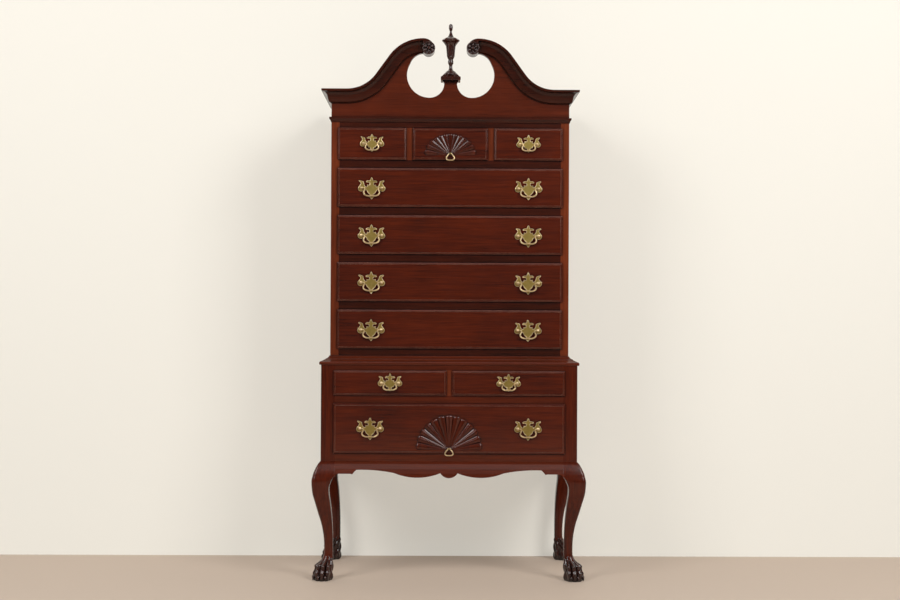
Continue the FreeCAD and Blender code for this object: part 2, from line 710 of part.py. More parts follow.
def drop_ring(face, z):
    """A pear-shaped ring that hangs from its eye."""
    bar = eye_thickness / 2 + 2
    wide, deep = ring_width / 2, ring_drop
    half = [(0, 0), (bar, 0), (bar + 2.5, -0.25 * deep), (wide - 5, -0.4 * deep), (wide - 1, -0.55 * deep),
            (wide, -0.72 * deep), (wide - 3, -0.9 * deep), (wide - 8, -deep), (0, -deep)]
    ring = fused(both(rod([(u, w, ring_wire) for u, w in half], bail_sides)))
    return [ring.translated(Vector(0, face - eye_stand, z))]


# ------------------------------------------------------------------ drawers
def fan_ray(turn, step, length, face, base_z):
    """One ray of a fan, which widens and rises away from the hub."""
    along = Vector(math.cos(turn), 0, math.sin(turn))
    aside = Vector(-along.z, 0, along.x)

    def ring(distance):
        half = 1.03 * distance * math.tan(step / 2)
        rise = ray_relief * half
        centre = Vector(0, face, base_z) + along * distance
        steps = [(-half, -ray_sink), (-half, 0), (-0.45 * half, rise), (0.45 * half, rise), (half, 0),
                 (half, -ray_sink)]
        return [centre + aside * across + Vector(0, -up, 0) for across, up in steps]

    return skin([ring(0.7 * fan_hub), ring(length)])


def fan(face, base_z, half_width, height):
    """A carved fan: convex rays round a half-round hub, on the drawer's face."""
    step = math.pi / fan_rays
    rays = []
    for k in range(fan_rays):
        turn = step * (k + 0.5)
        length = 1 / math.hypot(math.cos(turn) / half_width, math.sin(turn) / height)
        rays.append(fan_ray(turn, step, length, face, base_z))
    turns = [k * math.pi / 8 for k in range(9)]
    corners = [(fan_hub * math.cos(turn), base_z + fan_hub * math.sin(turn)) for turn in turns]
    hub = flat(corners, lambda x, z: Vector(x, face + ray_sink, z))
    return rays + [hub.extrude(Vector(0, -hub_relief - ray_sink, 0))]


def front_board(x, face, z, width, height):
    """A lipped drawer front with a quarter round and a slightly raised field."""
    def ring(inset, depth):
        left, right = x - width / 2 + inset, x + width / 2 - inset
        low, high = z + inset, z + height - inset
        y = face - lip_gap - depth
        return [Vector(left, y, low), Vector(right, y, low), Vector(right, y, high), Vector(left, y, high)]
    eased = lip_round * (1 - math.sqrt(0.5))
    slab = skin([ring(0, 0), ring(0, lip_thickness - lip_round), ring(eased, lip_thickness - eased),
                 ring(lip_round, lip_thickness), ring(field_inset, lip_thickness),
                 ring(field_inset, lip_thickness + field_step)])
    half = width / 2 - lip - side_gap
    body = box((x - half, x + half), (face - lip_gap, face - lip_gap + front_thickness),
               (z + lip + foot_gap, z + height - lip - head_gap))
    return fused([slab, body])


def drawer(x, face, z, width, height, back):
    """Lipped front and box of one drawer. The sides are dovetailed into the front."""
    front = front_board(x, face, z, width, height)
    half = width / 2 - lip - side_gap
    inner = half - drawer_side
    low, high = z + lip + foot_gap, z + height - lip - head_gap
    start = face - lip_gap + front_thickness
    end = back - back_gap
    count = max(2, round((high - low) / tail_pitch))
    pitch = (high - low) / count
    root, tip = 0.3 * pitch, 0.3 * pitch + tail_slope
    tails = []
    for k in range(count):
        middle = low + (k + 0.5) * pitch
        steps = [(start, middle - root), (start - tail_length, middle - tip),
                 (start - tail_length, middle + tip), (start, middle + root)]
        tails.append(flat(steps, lambda y, v: Vector(x + inner, y, v)).extrude(Vector(drawer_side, 0, 0)))
    floor_z = low + bottom_rise
    panel = box((x - inner - groove, x + inner + groove), (start, end - drawer_side),
                (floor_z, floor_z + drawer_bottom))
    side = fused([box((x + inner, x + half), (start, end), (low, high))] + tails).cut(panel)
    other = side.mirror(Vector(x, 0, 0), Vector(1, 0, 0))
    back_board = box((x - inner, x + inner), (end - drawer_side, end), (low, high - back_drop))
    return front.cut(side).cut(other), [side, other, back_board, panel]


def bored(front, places, face):
    """A front with a square hole for each post's shank."""
    for x, z in places:
        front = front.cut(shank(x, z, (face - 2 * face_rise, face + 2 * front_thickness)))
    return front


def save_drawer(name, front, sides, brass):
    save(name + "_drawer_front", [front])
    save(name + "_drawer_box", sides)
    save(name + "_drawer_brass", brass)


def pulled_drawer(name, x, face, z, width, height, back, boring, pull_xs, drop):
    """A drawer with bail pulls. Writes the bails, and returns the front, the box and the brass."""
    front, sides = drawer(x, face, z, width, height, back)
    centre_z = z + height / 2 - drop
    ends = ("",) if len(pull_xs) == 1 else ("_left", "_right")
    brass = []
    for end, pull_x in zip(ends, pull_xs):
        brass += pull(pull_x, face - face_rise, centre_z, boring)
        save(name + end + "_bail", bail(pull_x, face - face_rise - plate_thickness, centre_z, boring))
    places = [(pull_x + side * boring / 2, centre_z) for pull_x in pull_xs for side in (-1, 1)]
    return bored(front, places, face), sides, brass


def fanned_drawer(name, front, sides, brass, face, base_z, half_width, height):
    """Adds a carved fan and a drop ring to a drawer, and writes the drawer."""
    ring_z = base_z + ring_rise
    front = fused([front] + fan(face - face_rise, base_z, half_width, height))
    save(name + "_ring", drop_ring(face - face_rise, ring_z))
    save_drawer(name, bored(front, [(0, ring_z)], face), sides, brass + ring_eye(face - face_rise, ring_z))


def upper_drawers():
    back = lower_back - back_thickness
    side_x = (long_front_width - top_side_width) / 2
    for name, x in (("top_left", -side_x), ("top_right", side_x)):
        save_drawer(name, *pulled_drawer(name, x, upper_front, top_drawer_z, top_side_width, top_drawer_height,
                                         back, small_boring, [x], 0))
    front, sides = drawer(0, upper_front, top_drawer_z, top_centre_width, top_drawer_height, back)
    fanned_drawer("top_centre", front, sides, [], upper_front, top_drawer_z + top_fan_rise, top_fan_width,
                  top_fan_height)
    for k in range(long_drawer_count):
        name = "long_" + str(k + 1)
        z = first_long_z + (long_drawer_count - 1 - k) * long_pitch
        save_drawer(name, *pulled_drawer(name, 0, upper_front, z, long_front_width, long_drawer_height, back,
                                         large_boring, [-large_pull_x, large_pull_x], pull_drop))


def lower_drawers():
    back = lower_back - 2 * back_thickness
    half_x = (half_drawer_gap + half_drawer_width) / 2
    for name, x in (("half_left", -half_x), ("half_right", half_x)):
        save_drawer(name, *pulled_drawer(name, x, lower_front, half_drawer_z, half_drawer_width,
                                         half_drawer_height, back, small_boring, [x], 0))
    parts = pulled_drawer("bottom", 0, lower_front, bottom_drawer_z, bottom_front_width, bottom_drawer_height,
                          back, large_boring, [-large_pull_x, large_pull_x], 0)
    fanned_drawer("bottom", *parts, lower_front, bottom_drawer_z + bottom_fan_rise, bottom_fan_width,
                  bottom_fan_height)


def build():
    os.makedirs("parts", exist_ok=True)
    save("cabriole_legs", cabriole_legs())
    save("aprons", [front_apron()] + both(side_apron()))
    save("lower_case_boards", lower_case_boards())
    save("lower_face_frame", lower_face_frame())
    save("waist_moulding", waist_moulding())
    save("upper_case_boards", upper_case_boards())
    save("upper_face_frame", upper_face_frame())
    save("back_panels", back_panels())
    save("drawer_runners", upper_runners() + lower_runners())
    save("frieze_bead", frieze_bead())
    save("pediment_board", pediment_board())
    save("swan_neck_mouldings", swan_neck_mouldings())
    save("rosettes", rosettes())
    save("finial", finial())
    upper_drawers()
    lower_drawers()


build()
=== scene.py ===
"""Finishes and fine carving of a highboy, as an add-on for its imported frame.

The frame is in metres: X runs to the right across the front, Y to the back and Z up.
"""
import json
import math

import bpy
from bpy.props import FloatProperty, FloatVectorProperty, IntProperty, PointerProperty
from mathutils import Matrix, Vector

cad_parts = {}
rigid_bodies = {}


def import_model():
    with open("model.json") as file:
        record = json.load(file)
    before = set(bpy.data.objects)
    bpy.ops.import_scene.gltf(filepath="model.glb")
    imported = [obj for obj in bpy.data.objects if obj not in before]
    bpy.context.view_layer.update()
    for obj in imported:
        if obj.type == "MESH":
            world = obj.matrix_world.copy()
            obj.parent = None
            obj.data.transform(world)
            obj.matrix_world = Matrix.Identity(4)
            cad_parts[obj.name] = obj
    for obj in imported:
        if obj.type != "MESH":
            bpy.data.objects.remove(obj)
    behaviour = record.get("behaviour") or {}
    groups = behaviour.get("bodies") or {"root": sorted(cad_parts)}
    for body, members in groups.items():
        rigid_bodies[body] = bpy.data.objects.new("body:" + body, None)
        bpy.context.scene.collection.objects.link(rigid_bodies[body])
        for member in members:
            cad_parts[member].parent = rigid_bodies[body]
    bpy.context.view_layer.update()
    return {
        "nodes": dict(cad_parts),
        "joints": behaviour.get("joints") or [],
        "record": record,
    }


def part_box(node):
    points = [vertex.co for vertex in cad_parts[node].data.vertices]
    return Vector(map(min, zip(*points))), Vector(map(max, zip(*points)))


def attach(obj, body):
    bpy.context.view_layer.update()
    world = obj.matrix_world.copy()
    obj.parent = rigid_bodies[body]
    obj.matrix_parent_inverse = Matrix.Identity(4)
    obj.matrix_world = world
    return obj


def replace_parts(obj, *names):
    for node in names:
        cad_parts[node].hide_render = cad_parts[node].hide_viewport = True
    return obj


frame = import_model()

bl_info = {
    "name": "Highboy finishes",
    "version": (1, 0, 0),
    "blender": (4, 5, 0),
    "location": "3D View > Sidebar > Highboy",
    "description": "Mahogany, brass and carving for a highboy's frame",
    "category": "Object",
}

MM = 0.001

# How fine a wood's streaks are along X, Y and Z. The grain runs along the axis with 1.
FINE = 18.0
ACROSS = (1.0, FINE, FINE)
ALONG = (FINE, 1.0, FINE)
UPRIGHT = (FINE, FINE, 1.0)
CARVED_GRAIN = (14.0, 14.0, 1.0)

# Degrees between two faces up to which they are shaded as one.
SMOOTH_FRONT = 14.0
SMOOTH_TURNING = 35.0
SMOOTH_PLAIN = 40.0
SMOOTH_PLATE = 50.0
SMOOTH_CARVING = 60.0


# ---- sizes and colours
def colour(name, description, default):
    """A colour, in linear light."""
    return FloatVectorProperty(name=name, description=description, subtype="COLOR", size=3, min=0.0, max=1.0,
                               default=default)


def length(name, description, default):
    """A size in metres."""
    return FloatProperty(name=name, description=description, default=default, subtype="DISTANCE")


class HighboyColours(bpy.types.PropertyGroup):
    """Colours of the finishes and of the stage. Each wood has lighter and darker streaks."""
    wood_light: colour("Light wood", "Case sides, posts and stiles", (0.165, 0.031, 0.0085))
    wood_dark: colour("Dark wood", "Case sides, posts and stiles", (0.07, 0.0115, 0.0032))
    board_light: colour("Light boards", "Pediment board and aprons", (0.1, 0.015, 0.004))
    board_dark: colour("Dark boards", "Pediment board and aprons", (0.044, 0.007, 0.002))
    front_light: colour("Light fronts", "Drawer fronts and legs", (0.094, 0.0112, 0.0017))
    front_dark: colour("Dark fronts", "Drawer fronts and legs", (0.027, 0.0032, 0.0007))
    # The mouldings' darker tones stand partly for painted shade on their downward-facing coves; the upper
    # frame's rails take them as painted shade under the drawers.
    moulding_light: colour("Light mouldings", "Cornice and rails", (0.05, 0.0075, 0.0022))
    moulding_dark: colour("Dark mouldings", "Cornice and rails", (0.016, 0.003, 0.0012))
    # The lips of the fronts are lightened to this tint partly for their rubbing and partly as a painted
    # highlight along the lips.
    front_wear_and_highlight: colour("Worn and highlighted fronts", "Rubbed lips of drawer fronts", (0.4, 0.19, 0.125))
    carved_light: colour("Light carving", "Carving and feet", (0.05, 0.0115, 0.0065))
    carved_dark: colour("Dark carving", "Carving and feet", (0.014, 0.004, 0.0028))
    poplar_light: colour("Light poplar", "Drawer sides and runners", (0.5, 0.36, 0.2))
    poplar_dark: colour("Dark poplar", "Drawer sides and runners", (0.33, 0.22, 0.11))
    pine_light: colour("Light pine", "Back panels", (0.4, 0.24, 0.11))
    pine_dark: colour("Dark pine", "Back panels", (0.24, 0.12, 0.05))
    brass: colour("Brass", "Backplates and eyes", (0.42, 0.31, 0.087))
    brass_tarnish: colour("Tarnished brass", "Clouds and hollows", (0.2, 0.15, 0.035))
    brass_rubbed: colour("Rubbed brass", "Posts, bails and rings", (0.8, 0.61, 0.36))
    floor: colour("Floor", "Floor of the stage", (0.567, 0.458, 0.368))
    wall: colour("Wall", "Backdrop of the stage", (0.885, 0.85, 0.765))


class HighboySizes(bpy.types.PropertyGroup):
    """Sizes that the frame doesn't give by itself."""
    knee_height: length("Knee height", "Floor to the top of the knees", 0.441)
    knee_projection: length("Knee projection", "Knees beyond the case", 0.032)
    post_width: length("Post width", "Width of a corner post", 0.052)
    pin_stand: length("Pin stand", "Axis of a bail in front of its plate", 0.0085)
    plate_thickness: length("Plate thickness", "Thickness of a backplate", 0.0016)
    plate_margin: length("Plate margin", "A plate's size beyond its share of the boring", 0.023)
    plate_growth: FloatProperty(name="Plate growth", description="Share of the boring in a plate's size",
                                default=0.658)
    small_boring: length("Small boring", "Longest boring of a short plate", 0.07)
    post_head: length("Post head", "Radius of a pull's post", 0.0048)
    bail_wire: length("Bail wire", "Radius of a bail", 0.0024)
    rim_wire: length("Rim wire", "Radius of the bead round a plate", 0.0009)
    ring_wire: length("Ring wire", "Radius of a drop ring", 0.0023)
    eye_stand: length("Eye stand", "Axis of a ring in front of its drawer", 0.015)
    front_depth: length("Front depth", "Face of a drawer front to its back", 0.021)
    fan_rise: length("Fan rise", "Axis of a ring above the base of its fan", 0.005)
    bottom_fan: length("Bottom fan", "Half width of the bottom drawer's fan", 0.122)
    bottom_fan_height: length("Bottom fan height", "Height of the bottom drawer's fan", 0.128)
    top_fan: length("Top fan", "Half width of the top drawer's fan", 0.096)
    top_fan_height: length("Top fan height", "Height of the top drawer's fan", 0.079)
    front_back: length("Front behind its lip", "Thickness behind the lip", 0.013)
    field_step: length("Field step", "Height of a front's field", 0.0012)
    field_inset: length("Field inset", "Edge of a front to its field", 0.007)
    lip_round: length("Lip round", "Radius along a front's lip", 0.005)
    body_inset: length("Body inset", "Side of the lip to the body behind it", 0.0072)
    body_under: length("Body rise", "Underside of the lip to the body behind it", 0.0063)
    body_over: length("Body drop", "Top of the lip to the body behind it", 0.009)
    fan_rays: IntProperty(name="Fan rays", description="Rays of a fan", default=13, min=5)
    upper_stile: length("Upper stiles", "Middle of the case to an upper stile", 0.413)
    top_row: length("Top row", "Floor to the middle of the upper dividers", 1.6195)
    top_row_half: length("Half top row", "Half height of the upper dividers", 0.06)
    lower_post: length("Lower posts", "Middle of the case to a lower post", 0.45)
    half_row: length("Half row", "Floor to the middle of the lower divider", 0.7305)
    half_row_half: length("Half row half", "Half height of the lower divider", 0.0465)
    grain: FloatProperty(name="Grain", description="Depth of the grain, 0 to 1", default=0.04)


# ---- meshes
def between(a, b, c, d, t):
    """The point at t, from 0 to 1, on a smooth curve from b to c, with a before b and d after c."""
    return tuple(
        0.5 * (2 * q + (r - p) * t + (2 * p - 5 * q + 4 * r - s) * t ** 2 + (3 * q - p - 3 * r + s) * t ** 3)
        for p, q, r, s in zip(a, b, c, d))


def curve_points(points, steps):
    """Points on a smooth curve through the given ones, with so many steps to each span."""
    padded = [points[0]] + list(points) + [points[-1]]
    spans = zip(padded, padded[1:], padded[2:], padded[3:])
    return [between(*span, step / steps) for span in spans for step in range(steps)] + [tuple(points[-1])]


def loop_points(points, steps):
    """Points on a closed smooth curve through the given ones."""
    count = len(points)
    spans = [[points[(k + shift) % count] for shift in (-1, 0, 1, 2)] for k in range(count)]
    return [between(*span, step / steps) for span in spans for step in range(steps)]


def around(sides):
    """The angles of so many points round a circle."""
    return [2 * math.pi * k / sides for k in range(sides)]


def share(value):
    """A value held between 0 and 1."""
    return min(1.0, max(0.0, value))


def rings_mesh(rings, closed=False):
    """Vertices and faces of a skin over a row of rings, capped at both ends unless it closes on itself."""
    count, size = len(rings), len(rings[0])
    faces = []
    for row in range(count if closed else count - 1):
        low, high = row * size, (row + 1) % count * size
        faces += [(low + k, low + (k + 1) % size, high + (k + 1) % size, high + k) for k in range(size)]
    if not closed:
        faces += [tuple(reversed(range(size))), tuple(range((count - 1) * size, count * size))]
    return [point for ring in rings for point in ring], faces


def joined(meshes):
    """One list of vertices and one of faces from several."""
    vertices, faces = [], []
    for more_vertices, more_faces in meshes:
        shift = len(vertices)
        vertices += more_vertices
        faces += [tuple(k + shift for k in face) for face in more_faces]
    return vertices, faces


def mirrored(mesh, axis):
    """A mesh on the other side of the middle plane."""
    vertices, faces = mesh
    flip = Vector([-1 if k == axis else 1 for k in range(3)])
    return [Vector(vertex) * flip for vertex in vertices], [tuple(reversed(face)) for face in faces]


def lathe(profile, sides, place, shape=None):
    """A turning from (radius, height) steps. place puts (x, y, height) in the frame."""
    rings = []
    for radius, height in profile:
        ring = []
        for turn in around(sides):
            reach = radius if shape is None else shape(radius, height, turn)
            ring.append(place(reach * math.cos(turn), reach * math.sin(turn), height))
        rings.append(ring)
    return rings_mesh(rings)


def level(x, y, z, way):
    """Puts a turning's points, in millimetres, round a level axis that runs forwards or backwards."""
    return lambda u, v, w: Vector((x + u * MM, y + way * w * MM, z + v * MM))


def tube(path, sides, closed=False, flat=1.0):
    """A round bar along (point, radius) steps."""
    points = [Vector(point) for point, radius in path]
    count = len(points)
    rings = []
    side = None
    for k, (point, radius) in enumerate(path):
        ahead = points[(k + 1) % count] if closed else points[min(k + 1, count - 1)]
        behind = points[k - 1] if closed or k else points[0]
        along = (ahead - behind).normalized()
        if side is None:
            side = along.orthogonal().normalized()
        side = (side - along * side.dot(along)).normalized()
        other = along.cross(side)
        rings.append([points[k] + radius * (math.cos(turn) * side + flat * math.sin(turn) * other)
                      for turn in around(sides)])
    return rings_mesh(rings, closed)


def hung(ending):
    """The hinged brasses with one ending: name without it, body that holds it, axis and box of each."""
    for joint in frame["joints"]:
        name = joint["child"]
        if name.endswith(ending):
            yield name.removesuffix(ending), joint["parent"], Vector(joint["pos_m"]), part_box(name)


def linked(name, data):
    """An object in the scene."""
    made = bpy.data.objects.new(name, data)
    bpy.context.scene.collection.objects.link(made)
    return made


def finished(name, data, body, material, smooth_below):
    """A piece from its mesh, which rides on a body."""
    data.materials.append(material)
    data.shade_smooth()
    data.set_sharp_from_angle(angle=math.radians(smooth_below))
    made = linked(name, data)
    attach(made, body)
    return made


def piece(name, mesh, body, material, smooth_below):
    """A piece from its vertices and faces, which rides on a body."""
    vertices, faces = mesh
    data = bpy.data.meshes.new(name)
    data.from_pydata([tuple(vertex) for vertex in vertices], [], faces)
    data.validate()
    return finished(name, data, body, material, smooth_below)


# ---- nodes
def put(tree, node, inputs):
    """A node with its inputs set. Each is a value or another node's socket."""
    for key, value in dict(inputs).items():
        if isinstance(value, bpy.types.NodeSocket):
            tree.links.new(value, node.inputs[key])
        else:
            node.inputs[key].default_value = value
    return node


def add(tree, kind, inputs=(), **settings):
    """A new node with its settings and inputs."""
    node = tree.nodes.new(kind)
    for name, value in settings.items():
        setattr(node, name, value)
    return put(tree, node, inputs)


def maths(tree, operation, *values, clamp=False):
    """A sum or comparison of single values."""
    node = add(tree, "ShaderNodeMath", dict(enumerate(values)), operation=operation, use_clamp=clamp)
    return node.outputs[0]


def noise(tree, place, scale, detail=2.0, roughness=0.5, distortion=0.0):
    """Cloudy values about 0.5."""
    node = add(tree, "ShaderNodeTexNoise", {
        "Vector": place, "Scale": scale, "Detail": detail, "Roughness": roughness, "Distortion": distortion})
    return node.outputs[0]


def ranged(tree, value, low, high, to_low=0.0, to_high=1.0):
    """A value between low and high, moved to the same place in another range."""
    node = add(tree, "ShaderNodeMapRange", {
        "Value": value, "From Min": low, "From Max": high, "To Min": to_low, "To Max": to_high})
    return node.outputs[0]


def with_alpha(values):
    """A colour without transparency."""
    return (values[0], values[1], values[2], 1.0)


def mixed(tree, amount, first, second):
    """A colour that turns from the first into the second."""
    tints = [tint if isinstance(tint, bpy.types.NodeSocket) else with_alpha(tint) for tint in (first, second)]
    return add(tree, "ShaderNodeMix", {0: amount, 6: tints[0], 7: tints[1]}, data_type="RGBA").outputs[2]


def new_group(name, inputs, outputs):
    """A shader group, the sockets of what it is given, and the node that takes its results."""
    tree = bpy.data.node_groups.new(name, "ShaderNodeTree")
    for socket, kind, default in inputs:
        made = tree.interface.new_socket(socket, in_out="INPUT", socket_type="NodeSocket" + kind)
        made.default_value = default
    for socket, kind in outputs:
        tree.interface.new_socket(socket, in_out="OUTPUT", socket_type="NodeSocket" + kind)
    return tree, tree.nodes.new("NodeGroupInput").outputs, tree.nodes.new("NodeGroupOutput")


def wood_figure_group():
    """Streaks, fibres and relief of planed wood, along the axis with the smallest stretch."""
    streak_share, fibre_share, cloud_share = 0.5, 0.25, 0.25
    tree, given, result = new_group(
        "Wood figure",
        [("Vector", "Vector", (0, 0, 0)), ("Stretch", "Vector", ACROSS), ("Streaks", "Float", 5.0),
         ("Light", "Color", (0.1, 0.02, 0.01, 1)), ("Dark", "Color", (0.04, 0.01, 0.005, 1))],
        [("Colour", "Color"), ("Relief", "Float")])
    stretched = add(tree, "ShaderNodeVectorMath", {0: given["Vector"], 1: given["Stretch"]},
                    operation="MULTIPLY").outputs[0]
    streak = ranged(tree, noise(tree, stretched, given["Streaks"], 5.0, 0.6, 0.5), 0.32, 0.68)
    fibre = ranged(tree, noise(tree, stretched, 13.0), 0.35, 0.65)
    cloud = ranged(tree, noise(tree, given["Vector"], 3.0), 0.35, 0.65)
    total = maths(tree, "MULTIPLY", streak, streak_share)
    total = maths(tree, "MULTIPLY_ADD", fibre, fibre_share, total)
    total = maths(tree, "MULTIPLY_ADD", cloud, cloud_share, total)
    put(tree, result, {"Colour": mixed(tree, total, given["Light"], given["Dark"]), "Relief": fibre})
    return tree


def wear_and_light_group():
    """Rounded edges, the lighter edges (partly rubbing, partly a painted highlight), and the creases and
    corners, which darken wood as painted shade with some dirt and tint brass as tarnish, from 0 to 1 each.
    """
    samples = 4
    tree, given, result = new_group(
        "Wear", [("Vector", "Vector", (0, 0, 0)), ("Radius", "Float", 0.0015), ("Reach", "Float", 0.018)],
        [("Rubbed", "Float"), ("Dirty", "Float"), ("Roughness", "Float"), ("Normal", "Vector")])
    face = add(tree, "ShaderNodeNewGeometry").outputs["Normal"]
    edge = add(tree, "ShaderNodeBevel", {"Radius": given["Radius"]}, samples=samples).outputs[0]
    air = add(tree, "ShaderNodeAmbientOcclusion", {"Distance": given["Reach"]}, samples=samples).outputs["AO"]
    turned = add(tree, "ShaderNodeVectorMath", {0: edge, 1: face}, operation="DOT_PRODUCT").outputs["Value"]
    patch = noise(tree, given["Vector"], 30.0)
    # Creases and corners from ambient occlusion: on wood a painted shade with some dirt, on brass its
    # tarnish.
    hollow = ranged(tree, air, 0.93, 0.5)
    bare = maths(tree, "SUBTRACT", ranged(tree, turned, 0.995, 0.85), hollow, clamp=True)
    # Edges that are lightened, patchy along their length: partly rubbing, partly a painted highlight.
    rubbed_and_highlighted = maths(tree, "MULTIPLY", bare, ranged(tree, patch, 0.3, 0.6, 0.35, 1.0))
    rough = ranged(tree, patch, 0.3, 0.7, 0.0, 0.05)
    put(tree, result, {"Rubbed": rubbed_and_highlighted, "Dirty": hollow, "Roughness": rough, "Normal": edge})
    return tree


def grouped(tree, name, build, inputs):
    """A node group in a tree, built the first time that it is asked for."""
    made = bpy.data.node_groups.get(name) or build()
    return add(tree, "ShaderNodeGroup", inputs, node_tree=made)


# ---- materials
def new_material(name):
    """A material, its tree and its one shader."""
    material = bpy.data.materials.new(name)
    material.use_nodes = True
    tree = material.node_tree
    return material, tree, tree.nodes["Principled BSDF"]


def wood(name, kind, stretch, roughness=0.22, coat=0.2, stiles=None, wear_and_highlight_tint=None):
    """Planed or turned wood in one kind of colour, with its grain along one axis.

    stiles are the distance from the middle beyond which it is upright, and the height and half height of its
    dividers. The last argument is the lighter tint of its edges, partly for rubbing and partly a painted
    highlight.
    """
    # The lift lightens edges, partly for rubbing and partly as a painted highlight; creases are darkened
    # toward a fraction of the dark tint as painted shade with some dirt.
    wear_and_highlight_lift, grime_and_shade, relief = 2.2, 0.3, 0.0004
    colours = bpy.context.scene.highboy_colours
    grain = bpy.context.scene.highboy_sizes.grain
    tints = {"Light": getattr(colours, kind + "_light"), "Dark": getattr(colours, kind + "_dark")}
    material, tree, shader = new_material(name)
    place = add(tree, "ShaderNodeTexCoord").outputs["Object"]
    figure = grouped(tree, "Wood figure", wood_figure_group, {"Vector": place, "Stretch": stretch})
    put(tree, figure, {socket: with_alpha(tint) for socket, tint in tints.items()})
    if stiles is not None:
        beyond, row, half_row = stiles
        spot = add(tree, "ShaderNodeSeparateXYZ", {0: place})
        stile = maths(tree, "GREATER_THAN", maths(tree, "ABSOLUTE", spot.outputs["X"]), beyond)
        divider = maths(tree, "COMPARE", spot.outputs["Z"], row, half_row)
        upright = maths(tree, "MAXIMUM", stile, divider)
        choice = add(tree, "ShaderNodeMix", {0: upright, 4: stretch, 5: UPRIGHT}, data_type="VECTOR")
        tree.links.new(choice.outputs[1], figure.inputs["Stretch"])
        for socket, tint in tints.items():
            upright_tint = getattr(colours, "wood_" + socket.lower())
            tree.links.new(mixed(tree, upright, tint, upright_tint), figure.inputs[socket])
    wear_and_light = grouped(tree, "Wear", wear_and_light_group, {"Vector": place})
    # Edges are lifted to a lighter tint: partly rubbing, partly a painted highlight.
    lifted = mixed(tree, wear_and_light.outputs["Rubbed"], figure.outputs["Colour"],
                   wear_and_highlight_tint or [wear_and_highlight_lift * value for value in tints["Light"]])
    bump = add(tree, "ShaderNodeBump", {"Height": figure.outputs["Relief"], "Normal": wear_and_light.outputs["Normal"],
                                        "Strength": grain, "Distance": relief})
    put(tree, shader, {
        # Creases are darkened toward a fraction of the dark tint: painted shade with some dirt.
        "Base Color": mixed(tree, wear_and_light.outputs["Dirty"], lifted, [grime_and_shade * value for value in tints["Dark"]]),
        "Roughness": maths(tree, "ADD", wear_and_light.outputs["Roughness"], roughness),
        "Normal": bump.outputs[0], "Coat Weight": coat, "Coat Roughness": 0.07, "Specular IOR Level": 0.24})
    return material


def brass(name, kind, roughness):
    """Old brass of one kind, brighter on its edges and tarnished in its hollows."""
    uneven, relief = 0.08, 0.0002
    colours = bpy.context.scene.highboy_colours
    material, tree, shader = new_material(name)
    place = add(tree, "ShaderNodeTexCoord").outputs["Object"]
    cloud = noise(tree, place, 90.0, 4.0)
    clouded = ranged(tree, cloud, 0.35, 0.75, 0.0, 0.45)
    body = mixed(tree, clouded, getattr(colours, kind), colours.brass_tarnish)
    wear_and_light = grouped(tree, "Wear", wear_and_light_group, {"Vector": place, "Radius": 0.0007, "Reach": 0.003})
    hollow = mixed(tree, wear_and_light.outputs["Dirty"], body, colours.brass_tarnish)
    bump = add(tree, "ShaderNodeBump", {"Height": cloud, "Normal": wear_and_light.outputs["Normal"], "Strength": 0.15,
                                        "Distance": relief})
    put(tree, shader, {
        "Base Color": mixed(tree, wear_and_light.outputs["Rubbed"], hollow, colours.brass_rubbed),
        "Roughness": ranged(tree, cloud, 0.0, 1.0, roughness - uneven, roughness + uneven),
        "Normal": bump.outputs[0], "Metallic": 1.0})
    return material


def once(name, build, *values, **settings):
    """A material, built the first time that it is asked for."""
    return bpy.data.materials.get(name) or build(name, *values, **settings)


def carved():
    """Darker wood of the carving, the urn and the feet."""
    return once("carved_mahogany", wood, "carved", CARVED_GRAIN, roughness=0.14, coat=0.6)


def fan_wood():
    """The drawers' mahogany with its grain upright and a deeper polish."""
    return once("fan_mahogany", wood, "front", CARVED_GRAIN, roughness=0.17, coat=0.4)


def plate_brass():
    """The duller brass of the plates and eyes."""
    return once("antique_brass", brass, "brass", 0.42)


def handled_brass():
    """Brass that fingers keep bright."""
    return once("rubbed_brass", brass, "brass_rubbed", 0.36)


# ---- woodwork
class HIGHBOY_OT_woodwork(bpy.types.Operator):
    """Gives each board, frame, moulding and drawer its wood"""
    bl_idname = "highboy.woodwork"
    bl_label = "Woodwork"

    def execute(self, context):
        sizes = context.scene.highboy_sizes
        upper = (sizes.upper_stile, sizes.top_row, sizes.top_row_half)
        lower = (sizes.lower_post, sizes.half_row, sizes.half_row_half)
        woods = {
            "across": wood("mahogany_across", "board", ACROSS),
            "upright": wood("mahogany_upright", "wood", UPRIGHT),
            "leg": wood("mahogany_leg", "front", UPRIGHT),
            "along": wood("mahogany_along", "wood", ALONG),
            # The upper frame's rails take the dark moulding tones as painted shade under the drawers' lips;
            # its stiles and dividers take the case wood.
            "upper_frame": wood("mahogany_upper_frame", "moulding", ACROSS, stiles=upper),
            "lower_frame": wood("mahogany_lower_frame", "board", ACROSS, stiles=lower),
            "front": wood("mahogany_front", "front", ACROSS, coat=0.5,
                          wear_and_highlight_tint=context.scene.highboy_colours.front_wear_and_highlight),
            "moulding": wood("mahogany_moulding", "moulding", ACROSS),
            "poplar": wood("poplar", "poplar", ALONG, roughness=0.6, coat=0.0),
            "pine": wood("pine", "pine", UPRIGHT, roughness=0.65, coat=0.0),
        }
        kinds = {"upper_case_boards": "upright", "lower_case_boards": "along",
                 "upper_face_frame": "upper_frame", "lower_face_frame": "lower_frame", "cabriole_legs": "leg",
                 "back_panels": "pine", "swan_neck_mouldings": "moulding", "frieze_bead": "moulding"}
        slots = {entry["node"]: entry["material_slot"] for entry in frame["record"]["subparts"]}
        for name, node in frame["nodes"].items():
            kind = "poplar" if slots[name] == "poplar" else "front" if name.endswith("_front") else "across"
            finish = plate_brass() if slots[name] == "brass" else woods[kinds.get(name, kind)]
            node.data.materials.clear()
            node.data.materials.append(finish)
        return {"FINISHED"}


